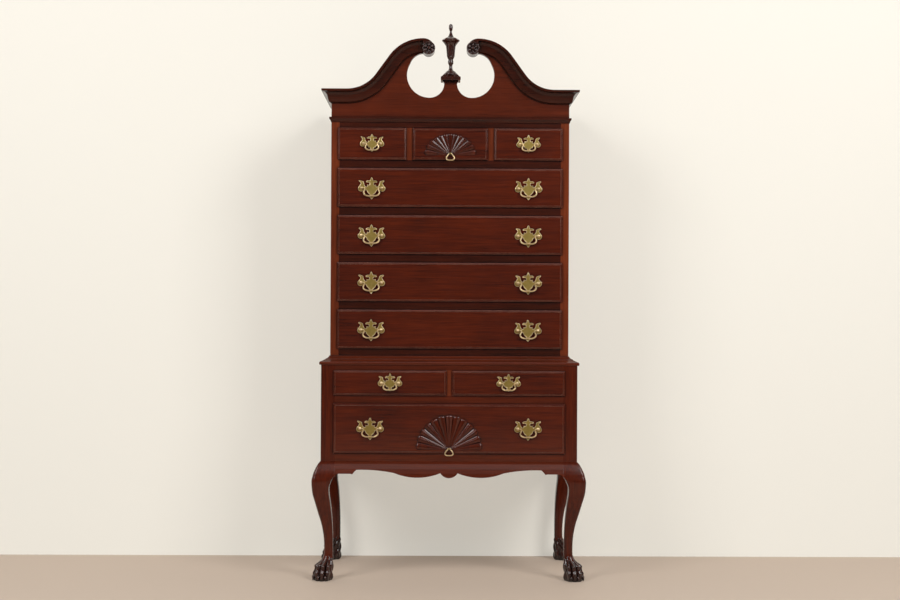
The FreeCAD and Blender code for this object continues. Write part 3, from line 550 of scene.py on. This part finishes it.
# ---- legs
CORNER_STEPS = 8
# Height, inner and outer side and both roundings of the ankle, in millimetres.
ANKLE = [(166, -45.5, -10, 15, 14.5), (131, -45.8, -12.7, 14.5, 14.5), (98, -45.8, -12.7, 14.5, 14.5),
         (84, -45, -10, 14.5, 14.5), (70, -42, -4, 14.5, 14.5), (55, -40, 2, 14.5, 14.5)]
# Height, middle and radius of the paw, then reach, height and radius of a claw.
PAW = [(92, -29.3, 12.5), (84, -28.6, 16.2), (76, -26, 19.4), (67, -21.6, 24), (57, -16.8, 28.4),
       (45, -14.6, 30), (32, -13.4, 31.6), (20, -12.8, 32), (9, -12.6, 31), (0.5, -12.6, 28.5)]
CLAW = [(33, 19, 3.6), (38, 17, 4.8), (41.2, 11, 3.9), (42.6, 5, 2.4), (42.8, 1.4, 0.9)]
CLAW_INSET = 13.2
PAW_SIDES = 120
TOES = 4
# Degrees from the right to the middle of the paw, and from one toe to the next.
PAW_WAY = 45
TOE_SPREAD = 38
# Middle and swelling of both rows of knuckles.
KNUCKLES = ((55, 4.5), (28, 3.2))


def beside(corner, u, v, z):
    """A point so many millimetres outside a corner of the case and above the floor."""
    return Vector((corner.x + u * MM, corner.y - v * MM, z * MM))


class HIGHBOY_OT_legs(bpy.types.Operator):
    """Shapes the cabriole legs and carves their paws"""
    bl_idname = "highboy.legs"
    bl_label = "Cabriole legs"

    def execute(self, context):
        sizes = context.scene.highboy_sizes
        low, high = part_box("cabriole_legs")
        corner = Vector((high.x - sizes.knee_projection, low.y + sizes.knee_projection, 0))
        leg = joined([self.post(corner, sizes, high.z), self.shank(corner, sizes)])
        leg_wood = bpy.data.materials["mahogany_leg"]
        for label, mesh, finish in (("leg", leg, leg_wood), ("paw", self.paw(corner), carved())):
            fronts = joined([mesh, mirrored(mesh, 0)])
            whole = joined([fronts, mirrored(fronts, 1)])
            made = piece("cabriole_" + label + "s", whole, "case", finish, SMOOTH_PLAIN)
            if label == "leg":
                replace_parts(made, "cabriole_legs")
        return {"FINISHED"}

    def ring(self, corner, z, inner, outer, rounding, seam):
        """A square with rounded corners, offset from the case's corner, in millimetres."""
        middle = (inner + outer) / 2
        points = []
        corners = ((outer, outer, rounding), (inner, outer, seam), (inner, inner, seam), (outer, inner, seam))
        for quarter, (side, front, radius) in enumerate(corners):
            centre_u = side - math.copysign(radius, side - middle)
            centre_v = front - math.copysign(radius, front - middle)
            for k in range(CORNER_STEPS + 1):
                turn = math.radians(90 * (quarter + k / CORNER_STEPS))
                u, v = centre_u + radius * math.cos(turn), centre_v + radius * math.sin(turn)
                points.append(beside(corner, u, v, z))
        return points

    def post(self, corner, sizes, top):
        """The square post above a knee."""
        edge, seam = 1.5, 0.6
        width = sizes.post_width / MM
        foot = sizes.knee_height / MM
        return rings_mesh([self.ring(corner, z, -width, 0, edge, seam) for z in (top / MM, foot)])

    def shank(self, corner, sizes):
        """The knee, calf and ankle, down into the paw, from heights, inner and outer sides and roundings."""
        polish = 0.4
        reach = sizes.knee_projection / MM - polish
        width = sizes.post_width / MM
        knee = sizes.knee_height / MM
        stations = [
            (knee, -width, 0, 3, 1), (knee - 9, -width, 0.27 * reach, 5.5, 1),
            (knee - 27, -width, 0.58 * reach, 8.2, 1), (knee - 43, -width, 0.8 * reach, 10, 1),
            (knee - 53, -width, 0.88 * reach, 11, 1), (371, -42, reach, 12, 11),
            (347, -33, 0.98 * reach, 13, 12), (320, -33, 0.88 * reach, 14, 13),
            (290, -37, 0.63 * reach, 15, 14), (251, -41, 0.3 * reach, 15, 14), (208, -44, -2.5, 15, 14)]
        stations += ANKLE
        return rings_mesh([self.ring(corner, *station) for station in curve_points(stations, 4)])

    def paw(self, corner):
        """A paw with four knuckled toes, their claws, and locks of fur round the ankle."""
        steps = curve_points(PAW, 5)
        centres = {z: centre for z, centre, radius in steps}
        parts = [lathe([(radius, z) for z, centre, radius in steps], PAW_SIDES,
                       lambda u, v, z: beside(corner, centres[z] + u, centres[z] + v, z), self.paw_reach)]
        middle = beside(corner, -CLAW_INSET, -CLAW_INSET, 0)
        for k in range(TOES):
            turn = math.radians(PAW_WAY + (k - (TOES - 1) / 2) * TOE_SPREAD)
            way = Vector((math.cos(turn), -math.sin(turn), 0))
            path = [(middle + way * out * MM + Vector((0, 0, z * MM)), radius * MM)
                    for out, z, radius in curve_points(CLAW, 3)]
            parts.append(tube(path, 10))
        return joined(parts)

    def paw_reach(self, radius, z, turn):
        """How far the paw reaches at an angle from its middle: toes in front, fur above and behind."""
        toe_top, toe_fade, toe_depth, toe_mean, front_fade = 87, 26, 8.5, 0.6, 0.25
        spread_top, spread_depth, knuckle_height = 70, 5.5, 7
        locks, lock_twist, lock_depth, lock_mean = 11, 0.05, 6.5, 1.8
        lump_share, lump_height, lumps = 0.35, 6.5, 4
        ahead = math.cos(turn - math.radians(PAW_WAY))
        toes = abs(math.cos(math.pi * (math.degrees(turn) - PAW_WAY + TOE_SPREAD) / TOE_SPREAD)) ** 0.7
        front = share((toe_top - z) / toe_fade) * share((ahead + front_fade) / (2 * front_fade))
        knuckle = sum(swell * math.exp(-((z - middle) / knuckle_height) ** 2) for middle, swell in KNUCKLES)
        spread = spread_depth * max(0.0, ahead) * max(0.0, 1 - z / spread_top)
        toe = front * (toe_depth * (toes - toe_mean) + knuckle * toes + spread)
        lock = abs(math.sin(locks / 2 * turn + lock_twist * z)) ** 0.8
        lump = 1 - lump_share + lump_share * math.sin(z / lump_height + lumps * turn)
        fur = (1 - front) * (lock_depth * lock * lump - lock_mean)
        return radius + toe + fur


# ---- fans
RAY_STEPS = 12
RAY_SIDES = 24
RAY_START = 0.06
RAY_TIP = (0, 20, 40, 58, 72, 82, 89)
HUB_SIDES = 24


class HIGHBOY_OT_fans(bpy.types.Operator):
    """Makes both fanned drawer fronts and carves their rays round the hubs"""
    bl_idname = "highboy.fans"
    bl_label = "Carved fans"

    def execute(self, context):
        sizes = context.scene.highboy_sizes
        axes = {name: axis for name, body, axis, box in hung("_ring")}
        for name, half_width, height in (("bottom", sizes.bottom_fan, sizes.bottom_fan_height),
                                         ("top_centre", sizes.top_fan, sizes.top_fan_height)):
            body = name + "_drawer"
            node = body + "_front"
            low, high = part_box(node)
            axis = axes[name]
            centre = Vector((axis.x, high.y - sizes.front_depth, axis.z - sizes.fan_rise))
            rays = sizes.fan_rays
            parts = []
            for k in range(rays):
                turn = math.pi * (k + 0.5) / rays
                reach = 1 / math.hypot(math.cos(turn) / half_width, math.sin(turn) / height)
                parts.append(self.ray(centre, turn, math.tan(math.pi / rays / 2), reach))
            parts.append(self.hub(centre))
            board = piece(name + "_front_board", self.board(low, high, sizes), body,
                          bpy.data.materials["mahogany_front"], SMOOTH_FRONT)
            fan = piece(name + "_fan_carving", joined(parts), body, fan_wood(), SMOOTH_CARVING)
            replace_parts(board, node)
            fan.parent = board
        return {"FINISHED"}

    def block(self, left, bottom, right, top, y):
        """A ring of four corners at one depth."""
        return [Vector((x, y, z)) for x, z in ((left, bottom), (right, bottom), (right, top), (left, top))]

    def board(self, low, high, sizes):
        """A lipped front: a rebated body behind a quarter round and a raised field."""
        overlap = 0.001
        lip = high.y - sizes.front_back
        edge, rise = sizes.lip_round, sizes.front_depth - sizes.front_back - sizes.field_step
        steps = [(0, 0), (0, rise - edge)]
        for turn in map(math.radians, range(10, 91, 10)):
            steps.append((edge * (1 - math.cos(turn)), rise - edge + edge * math.sin(turn)))
        inset = sizes.field_inset
        steps += [(inset, rise), (inset + 0.0003, rise + 0.7 * sizes.field_step),
                  (inset + 0.001, rise + sizes.field_step)]
        slab = rings_mesh([self.block(low.x + cut, low.z + cut, high.x - cut, high.z - cut, lip - depth)
                           for cut, depth in steps])
        side, under, over = sizes.body_inset, sizes.body_under, sizes.body_over
        body = rings_mesh([self.block(low.x + side, low.z + under, high.x - side, high.z - over, y)
                           for y in (high.y, lip - overlap)])
        return joined([slab, body])

    def ray(self, centre, turn, slope, reach):
        """A convex ray with a rounded tip and a bead along its back, sunk a little at both sides."""
        tip, width, height = 0.55, 1.04, 0.75
        round_share, bead_share, bead_width, sunk = 0.68, 0.34, 0.13, 0.0004
        along = Vector((math.cos(turn), 0, math.sin(turn)))
        aside = Vector((-along.z, 0, along.x))
        bend = reach - tip * (slope * reach)
        stations = [reach * (RAY_START + (1 - RAY_START) * k / RAY_STEPS) for k in range(RAY_STEPS)]
        stations = [station for station in stations if station < bend]
        stations += [bend + (reach - bend) * math.sin(math.radians(step)) for step in RAY_TIP]
        rows = []
        for distance in stations:
            taper = 1.0
            if distance > bend:
                taper = math.sqrt(max(0.0, 1 - ((distance - bend) / (reach - bend)) ** 2))
            wide = width * slope * distance * taper
            rise = height * slope * distance * math.sqrt(taper)
            row = []
            for k in range(RAY_SIDES + 1):
                place = -1 + k / (RAY_SIDES / 2)
                lift = rise * (round_share * math.sqrt(max(0.0, 1 - place * place))
                               + bead_share * math.exp(-(place / bead_width) ** 2))
                row.append(centre + along * distance + aside * wide * place + Vector((0, sunk - lift, 0)))
            rows.append(row)
        size = len(rows[0])
        faces = [(low + k, low + size + k, low + size + k + 1, low + k + 1)
                 for low in range(0, size * (len(rows) - 1), size) for k in range(size - 1)]
        return [point for row in rows for point in row], faces

    def hub(self, centre):
        """A half-round hub with a soft edge."""
        profile = curve_points([(11, -0.3), (10.8, 2.5), (9.4, 4.6), (5.5, 5.6), (0.4, 5.8)], 4)
        size = HUB_SIDES + 1
        vertices = [centre + Vector((radius * math.cos(turn), -lift, radius * math.sin(turn))) * MM
                    for radius, lift in profile for turn in (math.pi * k / HUB_SIDES for k in range(size))]
        faces = [(low + k, low + k + 1, low + size + k + 1, low + size + k)
                 for low in range(0, size * (len(profile) - 1), size) for k in range(size - 1)]
        ends = [size * row for row in range(len(profile))]
        base = len(vertices)
        vertices += [vertices[k] for k in ends] + [vertices[k + size - 1] for k in reversed(ends)]
        faces.append(tuple(range(base, len(vertices))))
        return vertices, faces


# ---- pediment ornament
# Radius and height of the urn, then inset and height of its cap, then radius and height of a rosette.
URN = [(0.5, 0), (26.7, 0), (26.7, 1.5), (25.6, 5), (22.6, 8), (20.2, 9), (18.8, 12.5), (12.9, 16.5),
       (8.6, 21), (6.6, 27), (6.4, 33), (6.9, 39), (9.6, 43), (10.2, 48), (10, 54), (8.8, 57), (9.4, 60),
       (12.5, 66), (14.2, 71), (15.1, 80), (15.9, 91), (17, 101), (18.3, 109), (21, 114.5), (25.5, 120.5),
       (31, 126), (33.6, 129), (33, 131), (30, 134.5), (25, 138), (18, 140.5), (13, 143), (10, 146),
       (7.4, 151), (5.4, 157), (4, 162.5), (4.4, 166), (5.9, 169), (7.1, 174), (7.4, 180), (6.9, 186),
       (5.2, 190), (2.5, 191.8), (0.3, 192.2)]
URN_SIDES = 72
CAP_HEIGHT = 22
CAP = [(6, 0), (1.5, 0), (0, 1.5), (0, 11.5), (1.2, 13), (5, 15.5), (8.2, 19.5), (9.5, CAP_HEIGHT),
       (20, CAP_HEIGHT)]
ROSETTE_THICKNESS = 9
ROSETTE = [(24, 0), (24, 5.5), (23, 7.6), (21.6, 8.4), (20, 7.4), (18.6, 5.2), (17.2, 5.4), (13, 7.4),
           (9.5, 6.6), (7.4, 4.4), (6.4, 5.2), (5.8, 7.6), (4, 8.8), (0.4, ROSETTE_THICKNESS)]
# Bands of flutes on the urn: first and last height, how many, how deep and how blunt.
URN_FLUTES = ((68, 122, 12, 0.1, 0.7), (130, 146, 8, 0.14, 1.0))
ROSETTE_SIDES = 64
ROSETTE_INSET = 0.0238
PETALS = 6
PETAL_ROOT = 6.4
PETAL_TIP = 19.5
PETAL_GAP = 0.15


class HIGHBOY_OT_ornament(bpy.types.Operator):
    """Turns the fluted urn and carves the rosettes of the scrolls"""
    bl_idname = "highboy.ornament"
    bl_label = "Urn and rosettes"

    def execute(self, context):
        low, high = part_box("finial")
        y = (low.y + high.y) / 2
        foot = low.z + CAP_HEIGHT * MM
        urn = lathe(curve_points(URN, 3), URN_SIDES,
                    lambda u, v, w: Vector((u * MM, y + v * MM, foot + w * MM)), self.fluted)
        cap = self.cap((high.x - low.x) / 2, (high.y - low.y) / 2, y, low.z)
        made = piece("turned_urn", joined([urn, cap]), "case", carved(), SMOOTH_TURNING)
        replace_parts(made, "finial")
        low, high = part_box("rosettes")
        middle = Vector((high.x - ROSETTE_INSET, high.y, (low.z + high.z) / 2))
        disc = self.rosette(middle, (high.y - low.y) / MM)
        made = piece("carved_rosettes", joined([disc, mirrored(disc, 0)]), "case", carved(),
                     SMOOTH_CARVING)
        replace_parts(made, "rosettes")
        return {"FINISHED"}

    def fluted(self, radius, height, turn):
        """The urn's radius, cut by its flutes."""
        for first, last, count, depth, blunt in URN_FLUTES:
            if first < height < last:
                return radius * (1 - depth * abs(math.sin(count / 2 * turn)) ** blunt)
        return radius

    def cap(self, half, deep, y, z):
        """The moulded cap under the urn."""
        corners = ((-1, -1), (1, -1), (1, 1), (-1, 1))
        return rings_mesh([[Vector((a * (half - inset * MM), y + b * (deep - inset * MM), z + rise * MM))
                            for a, b in corners] for inset, rise in CAP])

    def rosette(self, middle, thickness):
        """A flower of six petals round a button, inside a rim."""
        rings = []
        for reach, lift in curve_points(ROSETTE, 3):
            ring = []
            for turn in around(ROSETTE_SIDES):
                petal = abs(math.sin(PETALS / 2 * turn)) ** 0.7 if PETAL_ROOT < reach < PETAL_TIP else 1.0
                height = lift * (PETAL_GAP + (1 - PETAL_GAP) * petal) * thickness / ROSETTE_THICKNESS
                ring.append(middle + Vector((reach * math.cos(turn), -height, reach * math.sin(turn))) * MM)
            rings.append(ring)
        return rings_mesh(rings)


# ---- brass
# The right half of a backplate, drawn for a boring of about 100.
PLATE = [(4.8, 48), (8.6, 38.5), (15, 39), (21.5, 38), (28.6, 31.5), (24, 27.8), (17, 28.4), (11, 26.5),
         (9.4, 21), (11.5, 16.2), (17, 15.4), (22.6, 17.6), (22.4, 11), (25.4, 6.2), (30.4, 7.4), (35.4, 13),
         (39.4, 22), (40.6, 30), (44.5, 34.2), (52, 37.2), (60, 39.2), (64.2, 36.2), (61, 31.4), (55.2, 27.6),
         (55.4, 21.5), (61.5, 11.5), (68.6, 2), (68.4, -7.5), (62.5, -15), (52.5, -17.4), (43.5, -14.2),
         (36, -10.5), (28.4, -9.2), (25, -13), (21.5, -20.5), (14.6, -28), (9.4, -32.4), (8.4, -37),
         (11.6, -42.6), (6.6, -49.5)]
PLATE_TOP = (0, 54.5)
PLATE_FOOT = (0, -57.5)
PLATE_BEVEL = 0.00055
# A bail's length beyond its boring, in radii of a post's head.
PIN_REACH = 1.2
# Where a plate's foot begins, and how much of it a small plate has.
FOOT_BELOW = -25
SHORT_FOOT = 0.8
# The right half of a drop ring, as shares of its half width and its drop.
RING = [(0, 0), (0.26, 0), (0.42, -0.16), (0.72, -0.36), (0.95, -0.58), (0.99, -0.76), (0.78, -0.93),
        (0.4, -0.99), (0, -1)]


class HIGHBOY_OT_pulls(bpy.types.Operator):
    """Makes the backplates, posts, nuts and bails of the pulls"""
    bl_idname = "highboy.pulls"
    bl_label = "Bail pulls"

    def execute(self, context):
        sizes = context.scene.highboy_sizes
        dull, bright = plate_brass(), handled_brass()
        first_on_body = {}
        for name, body, axis, (low, high) in hung("_bail"):
            boring = high.x - low.x - PIN_REACH * sizes.post_head
            outline = self.outline(boring, sizes)
            made = self.backplate(name + "_plate", outline, axis, sizes, body, dull)
            first_on_body.setdefault(body, made)
            posts = [self.post(axis, side * boring / 2, sizes) for side in (-1, 1)]
            posts.append(self.rim(outline, axis, sizes))
            piece(name + "_posts", joined(posts), body, bright, SMOOTH_TURNING)
            node = name + "_bail"
            swing = self.bail(axis, boring, sizes)
            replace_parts(piece(name + "_swing", swing, node, bright, SMOOTH_CARVING), node)
        for body, made in first_on_body.items():
            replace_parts(made, body + "_brass")
        return {"FINISHED"}

    def outline(self, boring, sizes):
        """The outline of a batwing plate. Small plates have a shorter foot."""
        left = [(-u, w) for u, w in reversed(PLATE)]
        scale = (sizes.plate_growth * boring + sizes.plate_margin) / 100
        foot = 1.0 if boring > sizes.small_boring else SHORT_FOOT
        return [(u * scale, w * scale * (foot if w < FOOT_BELOW else 1.0))
                for u, w in loop_points([PLATE_TOP] + PLATE + [PLATE_FOOT] + left, 4)]

    def rim(self, outline, axis, sizes):
        """The raised bead round a plate."""
        wire = sizes.rim_wire
        face = axis.y + sizes.pin_stand
        path = []
        for k, (u, w) in enumerate(outline):
            before, after = outline[k - 1], outline[(k + 1) % len(outline)]
            away = Vector((before[1] - after[1], after[0] - before[0])).normalized()
            path.append((Vector((axis.x + u - away.x * wire, face, axis.z + w - away.y * wire)), wire))
        return tube(path, 8, closed=True)

    def backplate(self, name, outline, axis, sizes, body, metal):
        """A flat batwing plate with softened edges."""
        depth = sizes.plate_thickness
        curve = bpy.data.curves.new(name, "CURVE")
        curve.dimensions = "2D"
        curve.fill_mode = "BOTH"
        curve.extrude = depth / 2 - PLATE_BEVEL
        curve.bevel_depth = PLATE_BEVEL
        curve.bevel_resolution = 2
        curve.offset = -PLATE_BEVEL
        spline = curve.splines.new("POLY")
        spline.points.add(len(outline) - 1)
        for point, (u, w) in zip(spline.points, outline):
            point.co = (u, w, 0, 1)
        spline.use_cyclic_u = True
        holder = linked(name + "_outline", curve)
        data = bpy.data.meshes.new_from_object(holder)
        bpy.data.objects.remove(holder)
        bpy.data.curves.remove(curve)
        data.name = name
        middle = Vector((axis.x, axis.y + sizes.pin_stand + depth / 2, axis.z))
        data.transform(Matrix.Translation(middle) @ Matrix.Rotation(math.radians(90), 4, "X"))
        return finished(name, data, body, metal, SMOOTH_PLATE)

    def post(self, axis, shift, sizes):
        """A turned post head on a collar, and the end of its shank with its nut behind the front."""
        face = axis.y + sizes.pin_stand
        back = face + sizes.plate_thickness + sizes.front_depth
        head = sizes.post_head / MM
        profile = curve_points([
            (0.6, -0.2), (1.25 * head, -0.2), (1.25 * head, 0.9), (0.95 * head, 1.8), (0.78 * head, 3.4),
            (0.8 * head, 5), (head, 6.4), (1.02 * head, 8.6), (head, 10.4), (0.74 * head, 12),
            (0.34 * head, 12.9), (0.2, 13)], 3)
        rod = [(0.5, 0), (2.0, 0), (2.0, 5.4), (1.4, 6), (0.5, 6)]
        nut = [(2.0, 0), (4.6, 0), (4.6, 2.2), (4, 2.8), (2.0, 2.8)]
        behind = level(axis.x + shift, back, axis.z, 1)
        turned = lathe(profile, 24, level(axis.x + shift, face, axis.z, -1))
        return joined([turned, lathe(rod, 16, behind), lathe(nut, 6, behind)])

    def bail(self, axis, boring, sizes):
        """A swan-necked bail, fuller where a hand takes it."""
        wide = boring / MM
        wire = sizes.bail_wire / MM
        shoulder = wide / 2 - sizes.post_head / MM - 0.6
        neck = [(0.35, 0.002, 0.9), (0.328, -0.05, 0.9), (0.34, -0.12, 0.95), (0.388, -0.215, 1.05),
                (0.345, -0.32, 1.1), (0.2, -0.388, 1.1), (0.08, -0.385, 1.1)]
        half = [(wide / 2 + 2.6, 0, 1.45), (shoulder + 0.4, 0, 1.5), (shoulder - 0.2, 0, 0.95 * wire)]
        half += [(u * wide, w * wide, thick * wire) for u, w, thick in neck]
        steps = half + [(0, -0.375 * wide, 1.1 * wire)] + [(-u, w, r) for u, w, r in reversed(half)]
        path = [(axis + Vector((u, 0, w)) * MM, radius * MM) for u, w, radius in curve_points(steps, 5)]
        return tube(path, 14)


class HIGHBOY_OT_rings(bpy.types.Operator):
    """Makes the drop rings of the fans and the eyes that hold them"""
    bl_idname = "highboy.rings"
    bl_label = "Drop rings"

    def execute(self, context):
        sizes = context.scene.highboy_sizes
        dull, bright = plate_brass(), handled_brass()
        wire = sizes.ring_wire
        loop = loop_points(RING + [(-u, w) for u, w in reversed(RING[1:-1])], 5)
        for name, body, axis, (low, high) in hung("_ring"):
            wide = (high.x - low.x) / 2 - wire
            deep = axis.z - low.z - wire
            drop = tube([(axis + Vector((u * wide, 0, w * deep)), wire) for u, w in loop], 14, closed=True)
            node = name + "_ring"
            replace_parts(piece(name + "_drop", drop, node, bright, SMOOTH_CARVING), node)
            made = piece(name + "_eye", self.eye(axis, sizes), body, dull, SMOOTH_PLAIN)
            if name == "top_centre":
                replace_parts(made, body + "_brass")
        return {"FINISHED"}

    def eye(self, axis, sizes):
        """A round eye on a stem with a small rose against the wood."""
        radius, wire, flat = 3.35, 1.0, 1.7
        stand = sizes.eye_stand / MM
        loop = [(axis + Vector((0, radius * math.cos(turn), radius * math.sin(turn))) * MM, wire * MM)
                for turn in around(32)]
        profile = curve_points([(0.4, -0.5), (5.4, -0.5), (5.2, 0.9), (3.4, 1.9), (2.1, 3),
                                (1.9, stand - 5.2), (1.6, stand - 4)], 3)
        stem = lathe(profile, 20, level(axis.x, axis.y + sizes.eye_stand, axis.z, -1))
        return joined([tube(loop, 10, closed=True, flat=flat), stem])


# ---- stage
WORLD_TINT = (1.0, 0.985, 0.96, 1.0)
WORLD_LIGHT = 0.11
# The stage's half width, its depth to each side of the case, and where its wall stands and how high.
STAGE_HALF, STAGE_DEPTH, WALL_PLACE, WALL_HEIGHT = 6, 7, 0.3, 5
# Each lamp's place, size and power. All of them point at the middle of the case.
LAMPS = {
    "key": ((2.8, -3.6, 3.6), (1.8, 2.4), 179.0),
    "fill": ((-2.8, -3.4, 3.5), (1.8, 2.4), 138.0),
    "overhead": ((0.4, -3.2, 4.3), (3.0, 1.6), 13.0),
}
LAMP_AIM = Vector((0, 0, 1.05))
CAMERA_PLACE = (-0.0546, -5.545, 1.0)
CAMERA_LENS = 57.32
# Degrees to the side, up from the floor, and round the line of sight, each with its axis.
CAMERA_TURNS = ((-0.602, "Z"), (90.415, "X"), (0.276, "Z"))


class HIGHBOY_OT_stage(bpy.types.Operator):
    """Sets up the floor, the backdrop, the lamps and the camera"""
    bl_idname = "highboy.stage"
    bl_label = "Stage"

    def execute(self, context):
        colours = context.scene.highboy_colours
        scene = context.scene
        scene.view_settings.view_transform = "Standard"
        world = bpy.data.worlds.new("studio")
        world.use_nodes = True
        tree = world.node_tree
        put(tree, tree.nodes["Background"], {"Color": WORLD_TINT, "Strength": WORLD_LIGHT})
        scene.world = world
        floor = self.sheet("floor", (-STAGE_DEPTH, 0), (STAGE_DEPTH, 0),
                           self.pale("pale_floor", colours.floor, 0.25))
        wall = self.sheet("backdrop", (WALL_PLACE, 0), (WALL_PLACE, WALL_HEIGHT),
                          self.pale("pale_wall", colours.wall, 0.5))
        for name, (place, size, power) in LAMPS.items():
            lamp = linked(name, bpy.data.lights.new(name, "AREA"))
            lamp.data.shape = "RECTANGLE"
            lamp.data.size, lamp.data.size_y = size
            lamp.data.energy = power
            lamp.location = place
            lamp.rotation_euler = (LAMP_AIM - Vector(place)).to_track_quat("-Z", "Y").to_euler()
        camera = linked("camera", bpy.data.cameras.new("camera"))
        camera.data.lens = CAMERA_LENS
        camera.location = CAMERA_PLACE
        turn = Matrix.Identity(4)
        for angle, axis in CAMERA_TURNS:
            turn = turn @ Matrix.Rotation(math.radians(angle), 4, axis)
        camera.rotation_euler = turn.to_euler()
        scene.camera = camera
        return {"FINISHED"}

    def pale(self, name, tint, glow):
        """A matt pale finish, clear from behind, that eye and mirror see a little brighter than it is lit."""
        surface, tree, shader = new_material(name)
        put(tree, shader, {"Base Color": with_alpha(tint), "Roughness": 0.6})
        path = add(tree, "ShaderNodeLightPath")
        seen = maths(tree, "MAXIMUM", path.outputs["Is Camera Ray"], path.outputs["Is Glossy Ray"])
        seen = maths(tree, "MAXIMUM", seen, path.outputs["Is Transmission Ray"])
        light = add(tree, "ShaderNodeEmission", {"Color": with_alpha(tint), "Strength": 1.0})
        amount = maths(tree, "MULTIPLY", seen, glow)
        lit = add(tree, "ShaderNodeMixShader", {0: amount, 1: shader.outputs[0], 2: light.outputs[0]})
        clear = add(tree, "ShaderNodeBsdfTransparent")
        behind = add(tree, "ShaderNodeNewGeometry").outputs["Backfacing"]
        both = add(tree, "ShaderNodeMixShader", {0: behind, 1: lit.outputs[0], 2: clear.outputs[0]})
        put(tree, tree.nodes["Material Output"], {"Surface": both.outputs[0]})
        return surface

    def sheet(self, name, near, far, finish):
        """A flat sheet of the stage between two edges, each given by its y and z."""
        corners = [(-STAGE_HALF, *near), (STAGE_HALF, *near), (STAGE_HALF, *far), (-STAGE_HALF, *far)]
        data = bpy.data.meshes.new(name)
        data.from_pydata(corners, [], [(0, 1, 2, 3)])
        data.materials.append(finish)
        return linked(name, data)


# ---- panel
OPERATORS = (HIGHBOY_OT_woodwork, HIGHBOY_OT_legs, HIGHBOY_OT_fans, HIGHBOY_OT_ornament, HIGHBOY_OT_pulls,
             HIGHBOY_OT_rings, HIGHBOY_OT_stage)


class HIGHBOY_PT_panel(bpy.types.Panel):
    """Shows a button for each step that makes the highboy's pieces"""
    bl_idname = "HIGHBOY_PT_panel"
    bl_label = "Highboy"
    bl_space_type = "VIEW_3D"
    bl_region_type = "UI"
    bl_category = "Highboy"

    def draw(self, context):
        for operator in OPERATORS:
            self.layout.operator(operator.bl_idname)


CLASSES = (HighboyColours, HighboySizes) + OPERATORS + (HIGHBOY_PT_panel,)


def register():
    for item in CLASSES:
        bpy.utils.register_class(item)
    bpy.types.Scene.highboy_colours = PointerProperty(type=HighboyColours)
    bpy.types.Scene.highboy_sizes = PointerProperty(type=HighboySizes)


def unregister():
    del bpy.types.Scene.highboy_colours
    del bpy.types.Scene.highboy_sizes
    for item in reversed(CLASSES):
        bpy.utils.unregister_class(item)


def main():
    register()
    for step in ("woodwork", "legs", "fans", "ornament", "pulls", "rings", "stage"):
        getattr(bpy.ops.highboy, step)()


if __name__ == "__main__":
    main()
